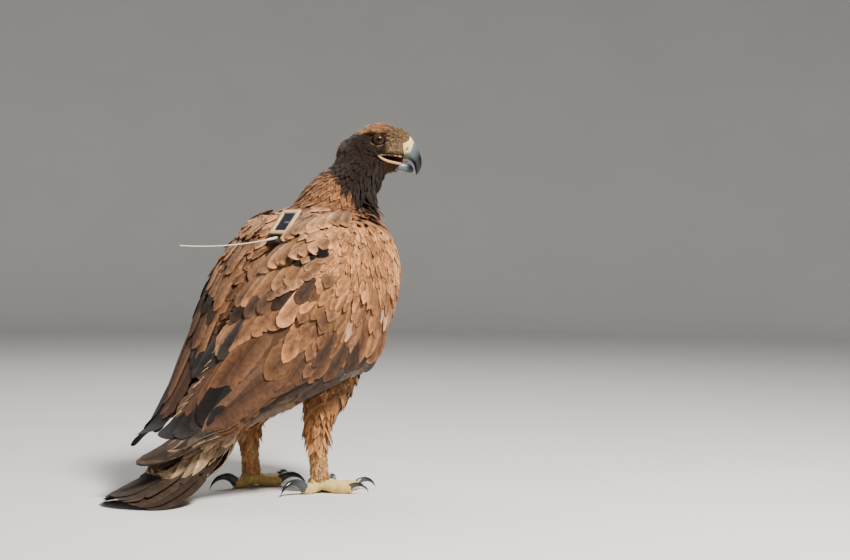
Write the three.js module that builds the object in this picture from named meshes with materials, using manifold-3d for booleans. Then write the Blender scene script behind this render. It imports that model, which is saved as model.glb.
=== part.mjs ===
// A golden eagle, life size, standing with its head turned to its right and a solar tracking tag on
// its back. Millimetres, +Z up. The bird faces -Y and its left side is +X. The origin is on the
// floor, under the middle of the box that the bird fills.

import * as THREE from "three";
import { mergeVertices } from "three/addons/utils/BufferGeometryUtils.js";
import Module from "manifold-3d";

const wasm = await Module();
wasm.setup();

// Driving dimensions
const GAP = 0.3; // between pieces that touch
const HEAD_TURN = 42; // degrees to the bird's right
const HEAD_NOD = -3; // degrees, bill down
const HEAD_CENTRE = [134, -22, 538]; // forward, left, up
const EYE_RADIUS = 11.5;
const EYE_PLACE = [4, 23.5, 4]; // ahead of the head's centre, aside, up
const LEG_SPREAD = 62; // from the middle of the body to each leg
const LEG_FORWARD = { left: -48, right: -14 };
const TAG_PLACE = [-28, 399]; // forward and up, of the middle of the tag's case
const TAG_SLOPE = 51; // degrees above level, of the tag's long side
const SIDES = { left: 1, right: -1 };
const UP = new THREE.Vector3(0, 0, 1);
const LEFT = new THREE.Vector3(1, 0, 0);

// Stations of the body from the neck to the tail's root. Each has its back edge and its breast edge
// in the plane of symmetry, as forward and up, and its half width. The wings lie over it.
const TORSO = [
  [12, 450, 112, 456, 46],
  [-20, 420, 128, 424, 68],
  [-50, 386, 142, 384, 86],
  [-76, 346, 152, 334, 96],
  [-99, 300, 149, 278, 98],
  [-120, 254, 132, 226, 95],
  [-140, 216, 98, 184, 87],
  [-157, 187, 38, 154, 72],
  [-174, 162, -40, 128, 54],
  [-192, 142, -104, 100, 38],
];

// Stations of the form that the folded wings give the bird, from the shoulders to past the tail's tip.
const FOLDED = [
  [10, 462, 116, 458, 56],
  [-24, 440, 136, 428, 100],
  [-62, 402, 153, 388, 130],
  [-102, 354, 162, 334, 145],
  [-137, 302, 157, 277, 146],
  [-168, 250, 141, 222, 139],
  [-192, 206, 107, 172, 129],
  [-214, 170, 48, 126, 114],
  [-236, 140, -30, 94, 98],
  [-260, 114, -100, 70, 80],
  [-288, 102, -156, 57, 65],
  [-324, 91, -216, 46, 50],
  [-366, 81, -276, 37, 36],
  [-414, 72, -340, 29, 26],
];

// Where each wing lies on those stations: the station, and the angles of its front and back edges in
// degrees from the breast.
const WING_EDGES = [
  [0.8, 78, 156],
  [2, 52, 165],
  [3, 40, 170],
  [4, 38, 173],
  [5, 40, 173],
  [6, 47, 173],
  [7, 62, 172],
  [7.9, 74, 170],
];

function at(forward, left, up) {
  return new THREE.Vector3(left, -forward, up);
}

function radians(degrees) {
  return (degrees * Math.PI) / 180;
}

function mix(a, b, t) {
  return a + (b - a) * t;
}

function smooth(t) {
  const k = Math.min(1, Math.max(0, t));
  return k * k * (3 - 2 * k);
}

// A seeded draw between -1 and 1.
function makeDraw(seed) {
  let state = seed;
  return () => {
    state = (state + 0x6d2b79f5) | 0;
    let t = Math.imul(state ^ (state >>> 15), 1 | state);
    t = (t + Math.imul(t ^ (t >>> 7), 61 | t)) ^ t;
    return (((t ^ (t >>> 14)) >>> 0) / 2147483648) - 1;
  };
}

// The values at place s in a table, on a smooth curve through its rows.
function between(rows, s) {
  const place = Math.min(Math.max(s, 0), rows.length - 1);
  const i = Math.min(Math.floor(place), rows.length - 2);
  const t = place - i;
  const before = rows[Math.max(i - 1, 0)];
  const after = rows[Math.min(i + 2, rows.length - 1)];
  return rows[i].map((value, k) => {
    const next = rows[i + 1][k];
    const m0 = (next - before[k]) / (i > 0 ? 2 : 1);
    const m1 = (after[k] - value) / (i + 2 < rows.length ? 2 : 1);
    return (
      value * (1 + 2 * t) * (1 - t) ** 2 +
      m0 * t * (1 - t) ** 2 +
      next * t * t * (3 - 2 * t) +
      m1 * t * t * (t - 1)
    );
  });
}

// The values of a table whose first column is the place, as straight lines between its rows.
function lookUp(rows, place) {
  let i = 0;
  while (i < rows.length - 2 && rows[i + 1][0] < place) i++;
  const t = Math.min(1, Math.max(0, (place - rows[i][0]) / (rows[i + 1][0] - rows[i][0])));
  return rows[i].slice(1).map((value, k) => mix(value, rows[i + 1][k + 1], t));
}

// Solids

// A solid from points and triangles, turned to face out.
function solidFrom(points, faces) {
  const geometry = new THREE.BufferGeometry().setFromPoints(points).setIndex(faces);
  return solidOf(geometry);
}

function solidOf(geometry) {
  const bare = geometry.clone();
  bare.deleteAttribute("normal");
  bare.deleteAttribute("uv");
  const merged = mergeVertices(bare, 1e-4);
  const vertProperties = new Float32Array(merged.attributes.position.array);
  const triVerts = new Uint32Array(merged.index.array);
  const made = new wasm.Manifold(new wasm.Mesh({ numProp: 3, vertProperties, triVerts }));
  if (made.volume() > 0) return made;
  for (let i = 0; i < triVerts.length; i += 3) {
    [triVerts[i + 1], triVerts[i + 2]] = [triVerts[i + 2], triVerts[i + 1]];
  }
  return new wasm.Manifold(new wasm.Mesh({ numProp: 3, vertProperties, triVerts }));
}

function middleOf(points) {
  return points.reduce((sum, p) => sum.add(p), new THREE.Vector3()).divideScalar(points.length);
}

// A closed skin over rings of points, each end closed by a fan to its middle.
function loft(rings) {
  const count = rings[0].length;
  const points = rings.flat();
  const faces = [];
  for (let i = 0; i < rings.length - 1; i++) {
    for (let j = 0; j < count; j++) {
      const a = i * count + j;
      const b = i * count + ((j + 1) % count);
      faces.push(a, b, a + count, b, b + count, a + count);
    }
  }
  [0, rings.length - 1].forEach((end) => {
    points.push(middleOf(rings[end]));
    for (let j = 0; j < count; j++) {
      const a = end * count + j;
      const b = end * count + ((j + 1) % count);
      faces.push(...(end ? [a, b, points.length - 1] : [b, a, points.length - 1]));
    }
  });
  return solidFrom(points, faces);
}

// Moves the end rings of a skin outward along its own way, so that the room cut for a piece is longer
// too.
function pushEnds(rings, grow) {
  if (!grow) return rings;
  const middles = rings.map(middleOf);
  const last = rings.length - 1;
  const before = middles[0].clone().sub(middles[1]).setLength(grow);
  const after = middles[last].clone().sub(middles[last - 1]).setLength(grow);
  rings[0].forEach((p) => p.add(before));
  rings[last].forEach((p) => p.add(after));
  return rings;
}

// A ring of points round a middle, on two axes, with its own reach along each way.
function ring(middle, across, upward, halfWidth, reachUp, reachDown, count, squareness = 2) {
  return Array.from({ length: count }, (_, j) => {
    const angle = (2 * Math.PI * (j + 0.5)) / count;
    const c = Math.cos(angle);
    const q = Math.sin(angle);
    const reach = q > 0 ? reachUp : reachDown;
    const power = Math.abs(c / halfWidth) ** squareness + Math.abs(q / reach) ** squareness;
    const size = power ** (-1 / squareness);
    return middle
      .clone()
      .addScaledVector(across, c * size)
      .addScaledVector(upward, q * size);
  });
}

// A tube along points whose rings keep level across, with a radius for each point, or [across,
// upward] radii.
function tube(path, radii, count, grow = 0, levelAcross = null) {
  const rings = path.map((p, i) => {
    const along = path[Math.min(i + 1, path.length - 1)].clone().sub(path[Math.max(i - 1, 0)]).normalize();
    const across = levelAcross ? levelAcross.clone() : new THREE.Vector3().crossVectors(along, UP);
    if (across.lengthSq() < 1e-6) across.copy(LEFT);
    across.addScaledVector(along, -across.dot(along)).normalize();
    const upward = new THREE.Vector3().crossVectors(across, along).normalize();
    const [wide, high] = Array.isArray(radii[i]) ? radii[i] : [radii[i], radii[i]];
    return ring(p, across, upward, wide + grow, high + grow, high + grow, count);
  });
  return loft(pushEnds(rings, grow));
}

// The largest closed surface of a solid, which drops loose scraps and fills sealed hollows.
function largest(solid) {
  const bodies = solid.decompose();
  return bodies.reduce((best, body) => (body.volume() > best.volume() ? body : best));
}

function union(solids) {
  return wasm.Manifold.union(solids);
}

function meshOf(name, solid, material) {
  const made = largest(solid).getMesh();
  const points = new Float32Array(made.numVert * 3);
  for (let i = 0; i < made.numVert; i++) {
    points.set(made.vertProperties.subarray(i * made.numProp, i * made.numProp + 3), i * 3);
  }
  const geometry = new THREE.BufferGeometry()
    .setAttribute("position", new THREE.BufferAttribute(points, 3))
    .setIndex(new THREE.BufferAttribute(made.triVerts, 1));
  geometry.computeVertexNormals();
  const mesh = new THREE.Mesh(geometry, material);
  mesh.name = name;
  return mesh;
}

// A body form on stations, with a smooth skin that can be walked over.
class Form {
  constructor(rows, squareness) {
    this.rows = rows;
    this.last = rows.length - 1;
    this.squareness = squareness;
  }

  station(s) {
    const [backForward, backUp, frontForward, frontUp, halfWidth] = between(this.rows, s);
    const back = at(backForward, 0, backUp);
    const front = at(frontForward, 0, frontUp);
    const centre = back.clone().add(front).multiplyScalar(0.5);
    const halfDepth = back.distanceTo(front) / 2;
    const dorsal = back.sub(centre).divideScalar(halfDepth);
    return { centre, dorsal, halfDepth, halfWidth };
  }

  // The point at station s and an angle from the breast, 0, to the back, a half turn, on one side.
  point(s, angle, height = 0, side = 1) {
    const { centre, dorsal, halfDepth, halfWidth } = this.station(s);
    const c = Math.cos(angle);
    const q = Math.sin(angle);
    const n = this.squareness;
    const reach = (Math.abs(c / halfDepth) ** n + Math.abs(q / halfWidth) ** n) ** (-1 / n) + height;
    return centre.addScaledVector(dorsal, -c * reach).addScaledVector(LEFT, side * q * reach);
  }

  // The station and angle that a point in space stands over.
  locate(p) {
    let low = 0;
    let high = this.last;
    for (let k = 0; k < 24; k++) {
      const middle = (low + high) / 2;
      const { centre, dorsal } = this.station(middle);
      const tailward = new THREE.Vector3().crossVectors(dorsal, LEFT);
      if (p.clone().sub(centre).dot(tailward) > 0) low = middle;
      else high = middle;
    }
    const { centre, dorsal } = this.station(low);
    const depth = p.clone().sub(centre).dot(dorsal);
    return { s: low, angle: Math.atan2(Math.abs(p.x), -depth) };
  }

  normal(s, angle, side) {
    const step = 0.02;
    const along = this.point(s + step, angle, 0, side).sub(this.point(s - step, angle, 0, side));
    const round = this.point(s, angle + step, 0, side).sub(this.point(s, angle - step, 0, side));
    const out = new THREE.Vector3().crossVectors(along, round).normalize();
    const centre = this.station(s).centre;
    return out.dot(this.point(s, angle, 0, side).sub(centre)) < 0 ? out.negate() : out;
  }

  solid(count, places, grow = 0) {
    const rings = places.map((s) =>
      Array.from({ length: count }, (_, j) => {
        const turn = (2 * Math.PI * (j + 0.5)) / count;
        return turn < Math.PI ? this.point(s, turn, grow, 1) : this.point(s, 2 * Math.PI - turn, grow, -1);
      }),
    );
    return loft(pushEnds(rings, grow));
  }
}

// Feathers

// Outlines of a vane: how wide it is at places from its root to its tip, as shares.
const LONG_VANE = [
  [0, 0.35],
  [0.3, 0.85],
  [0.65, 1],
  [0.9, 0.8],
  [1, 0.25],
];
const TAIL_VANE = [
  [0, 0.35],
  [0.45, 0.95],
  [0.88, 0.86],
  [1, 0.25],
];
const ROUND_VANE = [
  [0, 0.35],
  [0.5, 1],
  [0.84, 0.82],
  [1, 0.3],
];

const TIP_THICKNESS = 0.6; // of a vane, as a share of its root's

// One vane along a path, each point with its outward normal. It is crowned over its shaft and tapers
// to its tip.
function vane(path, normals, outline, width, thick, crown, roll) {
  const rows = outline.map(([t, share]) => {
    const place = t * (path.length - 1);
    const i = Math.min(Math.floor(place), path.length - 2);
    const p = path[i].clone().lerp(path[i + 1], place - i);
    const out = normals[i]
      .clone()
      .lerp(normals[i + 1], place - i)
      .normalize();
    const along = path[i + 1].clone().sub(path[i]).normalize();
    const across = new THREE.Vector3().crossVectors(along, out).normalize();
    const lifted = new THREE.Vector3().crossVectors(across, along).normalize();
    const leaned = across.clone().applyAxisAngle(along, roll);
    const raised = lifted.clone().applyAxisAngle(along, roll);
    const half = (width * share) / 2;
    const depth = thick * mix(1, TIP_THICKNESS, t);
    const bow = crown * share;
    const under = -bow - depth;
    const corner = (k, lift) =>
      p
        .clone()
        .addScaledVector(leaned, k * half)
        .addScaledVector(raised, lift);
    return [corner(-1, -bow), corner(0, 0), corner(1, -bow), corner(1, under), corner(-1, under)];
  });
  return loft(rows);
}

// Walks over a form from a root, along a heading in degrees below level and towards the tail.
function walk(form, side, root, length, steps, heading, height, inward = 0) {
  const path = [];
  const normals = [];
  let place = root;
  for (let i = 0; i <= steps; i++) {
    const t = i / steps;
    const p = form.point(place.s, place.angle, height(t), side);
    path.push(p);
    normals.push(form.normal(place.s, place.angle, side));
    const lean = radians(heading(t));
    const step = at(-Math.cos(lean), -side * inward, -Math.sin(lean)).normalize();
    place = form.locate(p.clone().addScaledVector(step, length / steps));
  }
  return { path, normals };
}

// Tiers of a folded wing. A root line runs from one place on the folded form to another, each as
// forward and up. Sizes, headings and heights go from the first vane's to the last one's. Heights are
// over the folded form, at the root and at the tip.
const LENGTH_STRAY = 0.02; // of a vane's length, either way
const RISE_RATE = 1.8; // how early along a vane it reaches its height
const WING_TIERS = [
  {
    name: "primaries",
    count: 5,
    leftReach: 0.91,
    roots: [[16, 202], [-22, 230]],
    lengths: [330, 386, 388, 360, 316],
    widths: [26, 34],
    headings: [[31, 11], [33, 15]],
    heights: [[-12, -6], [-6, 0]],
    outline: LONG_VANE,
    thick: 1.9,
    crown: 0.8,
    roll: -9,
    steps: 8,
  },
  {
    name: "secondaries",
    count: 5,
    roots: [[26, 232], [-52, 274]],
    lengths: [256, 276, 286, 284, 266],
    widths: [42, 52],
    headings: [[35, 27], [46, 38]],
    heights: [[-8, 0], [-5, 7]],
    outline: LONG_VANE,
    thick: 1.9,
    crown: 1,
    roll: -9,
    steps: 7,
  },
  {
    name: "greater_coverts",
    count: 5,
    roots: [[38, 240], [-98, 274]],
    lengths: [92, 106, 118, 124, 120],
    widths: [40, 48],
    headings: [[72, 64], [52, 50]],
    heights: [[-5, 4], [-5, 11]],
    outline: ROUND_VANE,
    thick: 1.7,
    crown: 0.9,
    roll: -11,
    steps: 4,
  },
  {
    name: "median_coverts",
    count: 4,
    roots: [[50, 290], [-90, 314]],
    lengths: [78, 84, 86, 84],
    widths: [42, 48],
    headings: [[82, 74], [58, 54]],
    heights: [[-5, 4], [-5, 15]],
    outline: ROUND_VANE,
    thick: 1.7,
    crown: 0.9,
    roll: -11,
    steps: 4,
  },
];

function tierVanes(form, side, tier, draw) {
  return Array.from({ length: tier.count }, (_, i) => {
    const t = tier.count > 1 ? i / (tier.count - 1) : 0;
    const [forward, up] = [0, 1].map((k) => mix(tier.roots[0][k], tier.roots[1][k], t));
    const [start, end] = [0, 1].map((k) => mix(tier.headings[0][k], tier.headings[1][k], t));
    const [sunk, raised] = [0, 1].map((k) => mix(tier.heights[0][k], tier.heights[1][k], t));
    const root = rootOver(form, side, forward, up);
    const reach = side > 0 ? (tier.leftReach ?? 1) : 1;
    const length = tier.lengths[i] * (1 + LENGTH_STRAY * draw()) * reach;
    const { path, normals } = walk(
      form,
      side,
      root,
      length,
      tier.steps,
      (k) => mix(start, end, k),
      (k) => mix(sunk, raised, smooth(k * RISE_RATE)),
    );
    const width = mix(tier.widths[0], tier.widths[1], t);
    const roll = radians(tier.roll * side);
    return vane(path, normals, tier.outline, width, tier.thick, tier.crown, roll);
  });
}

const FIRST_ASIDE = 60;
const ROOT_TRIES = 12;
const ROOT_STEP = 0.7; // how much of the way each try goes

// The place on a form's skin at a side view's forward and up.
function rootOver(form, side, forward, up) {
  let aside = FIRST_ASIDE;
  let place = null;
  for (let k = 0; k < ROOT_TRIES; k++) {
    place = form.locate(at(forward, side * aside, up));
    const p = form.point(place.s, place.angle, 0, side);
    aside = mix(aside, Math.abs(p.x), ROOT_STEP);
  }
  return place;
}

// The power of each form's rounded section, 2 for an ellipse
const TORSO_SQUARENESS = 2.25;
const FOLDED_SQUARENESS = 2.9;
const torsoForm = new Form(TORSO, TORSO_SQUARENESS);
const foldedForm = new Form(FOLDED, FOLDED_SQUARENESS);
const TORSO_SIDES = 22;
const TORSO_PLACES = [0, 0.6, 1.3, 2, 2.8, 3.6, 4.4, 5.1, 5.8, 6.5, 7.2, 8, 9];

function torsoSolid(grow = 0) {
  return torsoForm.solid(TORSO_SIDES, TORSO_PLACES, grow);
}

// The arm of a folded wing: a pad between the body and the folded form, thin at its rim. The slopes
// are how many rows or columns it takes to reach its full height.
const WING_PAD = { rows: 9, columns: 6, rim: 6, sunk: 3, endSlope: 1.5, edgeSlope: 1.25 };

function wingPad(side) {
  const { rows, columns, rim, sunk } = WING_PAD;
  const outer = [];
  const inner = [];
  for (let i = 0; i <= rows; i++) {
    const s = mix(WING_EDGES[0][0], WING_EDGES.at(-1)[0], i / rows);
    const [front, back] = lookUp(WING_EDGES, s).map(radians);
    for (let j = 0; j <= columns; j++) {
      const t = j / columns;
      const angle = mix(front, back, t);
      const fromEnds = smooth(Math.min(i, rows - i) / WING_PAD.endSlope);
      const fromEdges = smooth(Math.min(j, columns - j) / WING_PAD.edgeSlope);
      const low = torsoForm.point(s, angle, rim, side);
      const high = foldedForm.point(s, angle, 0, side);
      outer.push(low.lerp(high, Math.min(fromEnds, fromEdges)));
      inner.push(torsoForm.point(s, angle, -sunk, side));
    }
  }
  return solidFrom([...outer, ...inner], closedPatch(rows, columns));
}

// Faces of two like grids of points, one over the other, joined round their rims.
function closedPatch(rows, columns) {
  const wide = columns + 1;
  const under = (rows + 1) * wide;
  const faces = [];
  for (let i = 0; i < rows; i++) {
    for (let j = 0; j < columns; j++) {
      const a = i * wide + j;
      const [b, c, d] = [a + 1, a + wide + 1, a + wide];
      faces.push(a, b, c, a, c, d);
      faces.push(a + under, c + under, b + under, a + under, d + under, c + under);
    }
  }
  const rim = [];
  for (let j = 0; j < columns; j++) rim.push(j);
  for (let i = 0; i < rows; i++) rim.push(i * wide + columns);
  for (let j = columns; j > 0; j--) rim.push(rows * wide + j);
  for (let i = rows; i > 0; i--) rim.push(i * wide);
  rim.forEach((a, k) => {
    const b = rim[(k + 1) % rim.length];
    faces.push(a, a + under, b + under, a, b + under, b);
  });
  return faces;
}

// Scapulars hang from the shoulder over the back edge of the wing, and the tertials below them reach
// over the rump. Roots are stations and degrees from the breast, on the folded form.
const BACK_TIERS = [
  { roots: [[4.4, 142], [5.2, 165]], lengths: [176, 166], width: 50, heading: [48, 42], height: [-6, 0] },
  { roots: [[2.9, 136], [3.9, 161]], lengths: [128, 128], width: 48, heading: [54, 50], height: [-6, 3] },
  { roots: [[1.7, 126], [2.3, 154]], lengths: [94, 98], width: 46, heading: [60, 56], height: [-6, 5] },
];
const BACK_VANE = { count: 3, thick: 1.8, crown: 1, roll: 5, steps: 4, riseRate: 2 };

function backVanes(side) {
  return BACK_TIERS.flatMap((tier) =>
    Array.from({ length: BACK_VANE.count }, (_, i) => {
      const t = i / (BACK_VANE.count - 1);
      const [s, degrees] = [0, 1].map((k) => mix(tier.roots[0][k], tier.roots[1][k], t));
      const { path, normals } = walk(
        foldedForm,
        side,
        { s, angle: radians(degrees) },
        mix(tier.lengths[0], tier.lengths[1], t),
        BACK_VANE.steps,
        (k) => mix(tier.heading[0], tier.heading[1], k),
        (k) => mix(tier.height[0], tier.height[1], smooth(k * BACK_VANE.riseRate)),
      );
      const roll = radians(BACK_VANE.roll * side);
      return vane(path, normals, ROUND_VANE, tier.width, BACK_VANE.thick, BACK_VANE.crown, roll);
    }),
  );
}

function wingSolid(side, seed) {
  const draw = makeDraw(seed);
  const vanes = WING_TIERS.flatMap((tier) => tierVanes(foldedForm, side, tier, draw));
  return union([wingPad(side), ...vanes, ...backVanes(side)]);
}

// Tail

const TAIL = {
  root: [-136, 160], // forward and up, of the middle pair
  tip: [-354, 16],
  arch: 0.75, // how much of the drop comes early, as the tail bends to lie on the floor
  roof: 24, // how far the outer feathers fall below the middle pair near the root
  halfWidth: 54,
  pairs: 6,
  layer: 2.4, // each pair lies this far under the next one inward
  vaneWidth: 42,
  thick: 1.6,
  crown: 0.7,
  steps: 5,
  rootBack: 14, // how far the edge pair's root lies behind the middle one's
  tipShort: 22, // how far the edge pair's tip stops short of it
  spread: [0.42, 0.86], // the edge pair's place at its root and tip, as shares of the half width
  spreadRate: 1.3,
  middleSpread: 0.03,
  lean: [34, 12], // degrees that the edge pair's face leans out, at its root and tip
  slope: [42, 18], // degrees that a feather slopes, at its root and tip
  middleLift: 1.2, // between the two middle feathers and their mean
  roll: 2,
};

// The line of a tail feather at a share of its length, for a pair's place between the middle, 0, and
// the edge, 1.
function tailPoint(side, t, pair, k) {
  const forward = mix(TAIL.root[0] - TAIL.rootBack * t, TAIL.tip[0] + TAIL.tipShort * t * t, k);
  const fall = k * (1 + TAIL.arch) - k * k * TAIL.arch;
  const roof = TAIL.roof * t * t * (1 - k);
  const up = mix(TAIL.root[1], TAIL.tip[1], fall) - TAIL.layer * pair - roof;
  const spread = mix(TAIL.spread[0], TAIL.spread[1], smooth(k * TAIL.spreadRate));
  const aside = TAIL.halfWidth * (t * spread + TAIL.middleSpread);
  return at(forward, side * aside, up);
}

function tailVane(side, pair) {
  const t = pair / (TAIL.pairs - 1);
  const path = [];
  const normals = [];
  for (let i = 0; i <= TAIL.steps; i++) {
    const k = i / TAIL.steps;
    path.push(tailPoint(side, t, pair, k));
    const lean = radians(mix(TAIL.lean[0], TAIL.lean[1], k) * t) * side;
    const slope = radians(mix(TAIL.slope[0], TAIL.slope[1], k));
    normals.push(at(-Math.sin(slope), Math.sin(lean), Math.cos(slope)).normalize());
  }
  const lift = pair ? 0 : side * TAIL.middleLift;
  path.forEach((p) => (p.z += lift));
  const roll = radians(TAIL.roll * side * t);
  return vane(path, normals, TAIL_VANE, TAIL.vaneWidth, TAIL.thick, TAIL.crown, roll);
}

// The tail's core, which the quills and the coverts sink into: each row has its top and its
// underside, as forward and up, and its half width.
const TAIL_CORE = [
  [-160, 144, -118, 96, 36],
  [-186, 116, -146, 72, 40],
  [-212, 92, -180, 50, 42],
  [-242, 70, -222, 36, 38],
  [-270, 52, -260, 28, 26],
];
const TAIL_SQUARENESS = 2.3;
const TAIL_SIDES = 12;
const tailForm = new Form(TAIL_CORE, TAIL_SQUARENESS);

// Coverts under the tail's root, in tiers that follow the core, and over it.
const TAIL_COVERTS = [
  { from: 0.4, count: 4, spread: 62, centre: 0, length: 96, width: 40, height: [-4, 8] },
  { from: 1.5, count: 3, spread: 54, centre: 0, length: 86, width: 40, height: [-4, 5] },
  { from: 0.3, count: 3, spread: 34, centre: 180, length: 92, width: 36, height: [8, 15] },
];
const COVERT = { steps: 3, heading: 34, stagger: 0.25, riseRate: 1.6, thick: 1.7, crown: 1, roll: 5 };

function tailCovertVanes() {
  return TAIL_COVERTS.flatMap((tier) =>
    Array.from({ length: tier.count }, (_, i) => {
      const share = (2 * i) / (tier.count - 1) - 1;
      const side = share < 0 ? -1 : 1;
      const angle = radians(Math.abs(tier.centre - Math.abs(share) * tier.spread));
      const root = { s: tier.from + COVERT.stagger * Math.abs(share), angle };
      const { path, normals } = walk(
        tailForm,
        side,
        root,
        tier.length,
        COVERT.steps,
        () => COVERT.heading,
        (k) => mix(tier.height[0], tier.height[1], smooth(k * COVERT.riseRate)),
      );
      const roll = radians(COVERT.roll * side);
      return vane(path, normals, ROUND_VANE, tier.width, COVERT.thick, COVERT.crown, roll);
    }),
  );
}

function tailSolid() {
  const vanes = [];
  for (let pair = 0; pair < TAIL.pairs; pair++) {
    vanes.push(tailVane(SIDES.left, pair), tailVane(SIDES.right, pair));
  }
  return union([tailForm.solid(TAIL_SIDES, [0, 1, 2, 3, 4]), ...vanes, ...tailCovertVanes()]);
}

// Head and neck

const headFrame = new THREE.Matrix4()
  .makeTranslation(at(...HEAD_CENTRE))
  .multiply(new THREE.Matrix4().makeRotationZ(-radians(HEAD_TURN)))
  .multiply(new THREE.Matrix4().makeRotationX(-radians(HEAD_NOD)));

// A point of the head's own frame: ahead of its centre, to its left, and up.
function onHead(ahead, aside, up) {
  return at(ahead, aside, up).applyMatrix4(headFrame);
}

// A skin over stations in the head's frame. Each has its upper and its lower edge as ahead and up,
// and its half width.
function headLoft(stations, count, grow = 0, squareness = 2) {
  const across = at(0, 1, 0).transformDirection(headFrame);
  const rings = stations.map(([upAhead, upUp, lowAhead, lowUp, halfWidth]) => {
    const top = onHead(upAhead, 0, upUp);
    const low = onHead(lowAhead, 0, lowUp);
    const middle = top.clone().lerp(low, 0.5);
    const reach = top.distanceTo(low) / 2 + grow;
    const upward = top.sub(low).normalize();
    return ring(middle, across, upward, halfWidth + grow, reach, reach, count, squareness);
  });
  return loft(pushEnds(rings, grow));
}

// How many sides the rings of each form of the head have
const SIDES_OF = { skull: 16, neck: 16, cere: 14, bill: 12, tongue: 6, brow: 6, gape: 5 };
const SKULL_SQUARENESS = 2.15;

const SKULL = [
  [-56, -12, -50, -62, 30],
  [-44, 3, -40, -60, 35],
  [-28, 17, -27, -57, 37.5],
  [-10, 28.5, -11, -55, 38],
  [8, 33, 6, -51, 37],
  [22, 31, 19, -47.5, 34],
  [34, 27, 30, -44, 29],
  [44, 21.5, 38, -42, 22],
  [50, 16, 43, -40.5, 15],
];
const CERE = [
  [42, 22.5, 38, -19.5, 17.5],
  [49, 18.5, 43, -21, 16],
  [55.5, 13, 48.5, -22, 14.3],
  [60.5, 6, 52.5, -23, 12.8],
];
const UPPER_BILL = [
  [50, 15.5, 44, -19.5, 14],
  [61, 4.5, 52, -22.5, 12],
  [67, -3.5, 56, -25, 10.8],
  [72, -13, 59.5, -28.5, 8.8],
  [74.5, -23.5, 63, -33.5, 6.3],
  [73.4, -34, 65.5, -38.5, 3.8],
  [70.2, -42, 66.8, -43.3, 1.7],
  [67.4, -45.6, 66.2, -45.8, 0.6],
];
const LOWER_BILL = [
  [36, -27.5, 34, -42, 13.5],
  [46, -27.2, 44, -42.2, 11],
  [53.5, -28.2, 51.5, -43, 8.6],
  [58.8, -31.2, 57, -43.4, 5.8],
  [62, -36, 61, -42.6, 2.4],
];

const NECK = [
  // forward, left, up of the middle, then the half width across and the half depth
  [62, 0, 424, 62, 60],
  [70, -2, 443, 52, 55],
  [86, -6, 462, 46, 49],
  [103, -12, 480, 42, 44],
  [116, -17, 499, 38, 38],
  [124, -20, 514, 33, 33],
];

// Where the head ends and the neck begins, in the head's frame: ahead, aside and up.
const NECK_CUT = { normal: [0.36, 0, 0.93], through: [-12, 0, -40] };

function neckSolid() {
  const path = NECK.map(([forward, left, up]) => at(forward, left, up));
  const radii = NECK.map((row) => [row[3], row[4]]);
  const rings = path.map((p, i) => {
    const along = path[Math.min(i + 1, path.length - 1)].clone().sub(path[Math.max(i - 1, 0)]).normalize();
    const turn = -radians(HEAD_TURN) * smooth(i / (path.length - 1));
    const across = LEFT.clone().applyAxisAngle(UP, turn);
    across.addScaledVector(along, -across.dot(along)).normalize();
    const back = new THREE.Vector3().crossVectors(across, along).normalize();
    return ring(p, across, back, radii[i][0], radii[i][1], radii[i][1], SIDES_OF.neck);
  });
  return loft(rings);
}

// The open mouth, seen from the side of the head, as ahead and up.
const MOUTH = [
  [5, -19.6],
  [22, -19.4],
  [40, -20.6],
  [72, -25],
  [72, -26],
  [52, -27.2],
  [40, -27.2],
  [26, -26.2],
  [15, -23.6],
];

const MOUTH_HALF_WIDTH = 45;

function mouthCut() {
  const shape = new THREE.Shape(MOUTH.map(([ahead, up]) => new THREE.Vector2(ahead, up)));
  const geometry = new THREE.ExtrudeGeometry(shape, { depth: 2 * MOUTH_HALF_WIDTH, bevelEnabled: false });
  geometry.translate(0, 0, -MOUTH_HALF_WIDTH);
  // the shape's x, y and depth become ahead, up and aside
  const turn = new THREE.Matrix4().makeBasis(at(1, 0, 0), at(0, 0, 1), at(0, 1, 0));
  geometry.applyMatrix4(turn).applyMatrix4(headFrame);
  return solidOf(geometry);
}

const BALL_BANDS = 0.62; // as a share of how many sides a ball has

function ball(centre, radius, scale = [1, 1, 1], sides = 12) {
  const geometry = new THREE.SphereGeometry(radius, sides, Math.round(sides * BALL_BANDS));
  geometry.scale(...scale);
  geometry.applyMatrix4(headFrame.clone().setPosition(centre));
  return solidOf(geometry);
}

const NOSTRIL = { ahead: 49.8, aside: 14.3, up: -6.5, radius: 2.6, scale: [1, 0.8, 1.5], sides: 8 };

function nostrilCut(side) {
  const { ahead, aside, up, radius, scale, sides } = NOSTRIL;
  return ball(onHead(ahead, side * aside, up), radius, scale, sides);
}

function eyeCentre(side) {
  return onHead(EYE_PLACE[0], side * EYE_PLACE[1], EYE_PLACE[2]);
}

// The hollow that the eye lies in, measured from the eye's centre
const SOCKET = { out: 13.5, up: -0.5, radius: 10, scale: [1.15, 1, 0.95], sides: 10 };

function socketCut(side) {
  const centre = onHead(EYE_PLACE[0], side * (EYE_PLACE[1] + SOCKET.out), EYE_PLACE[2] + SOCKET.up);
  return ball(centre, SOCKET.radius, SOCKET.scale, SOCKET.sides);
}

// The lids' ring: its radius, its tube, how much longer and lower it is, how far it stands out of the
// eye's centre, and the degrees that it turns forward and leans back at its top.
const LID = { radius: 9.6, tube: 2, long: 1.12, high: 0.92, out: 7.6, turn: 7, lean: 8, sides: [4, 11] };

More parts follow.
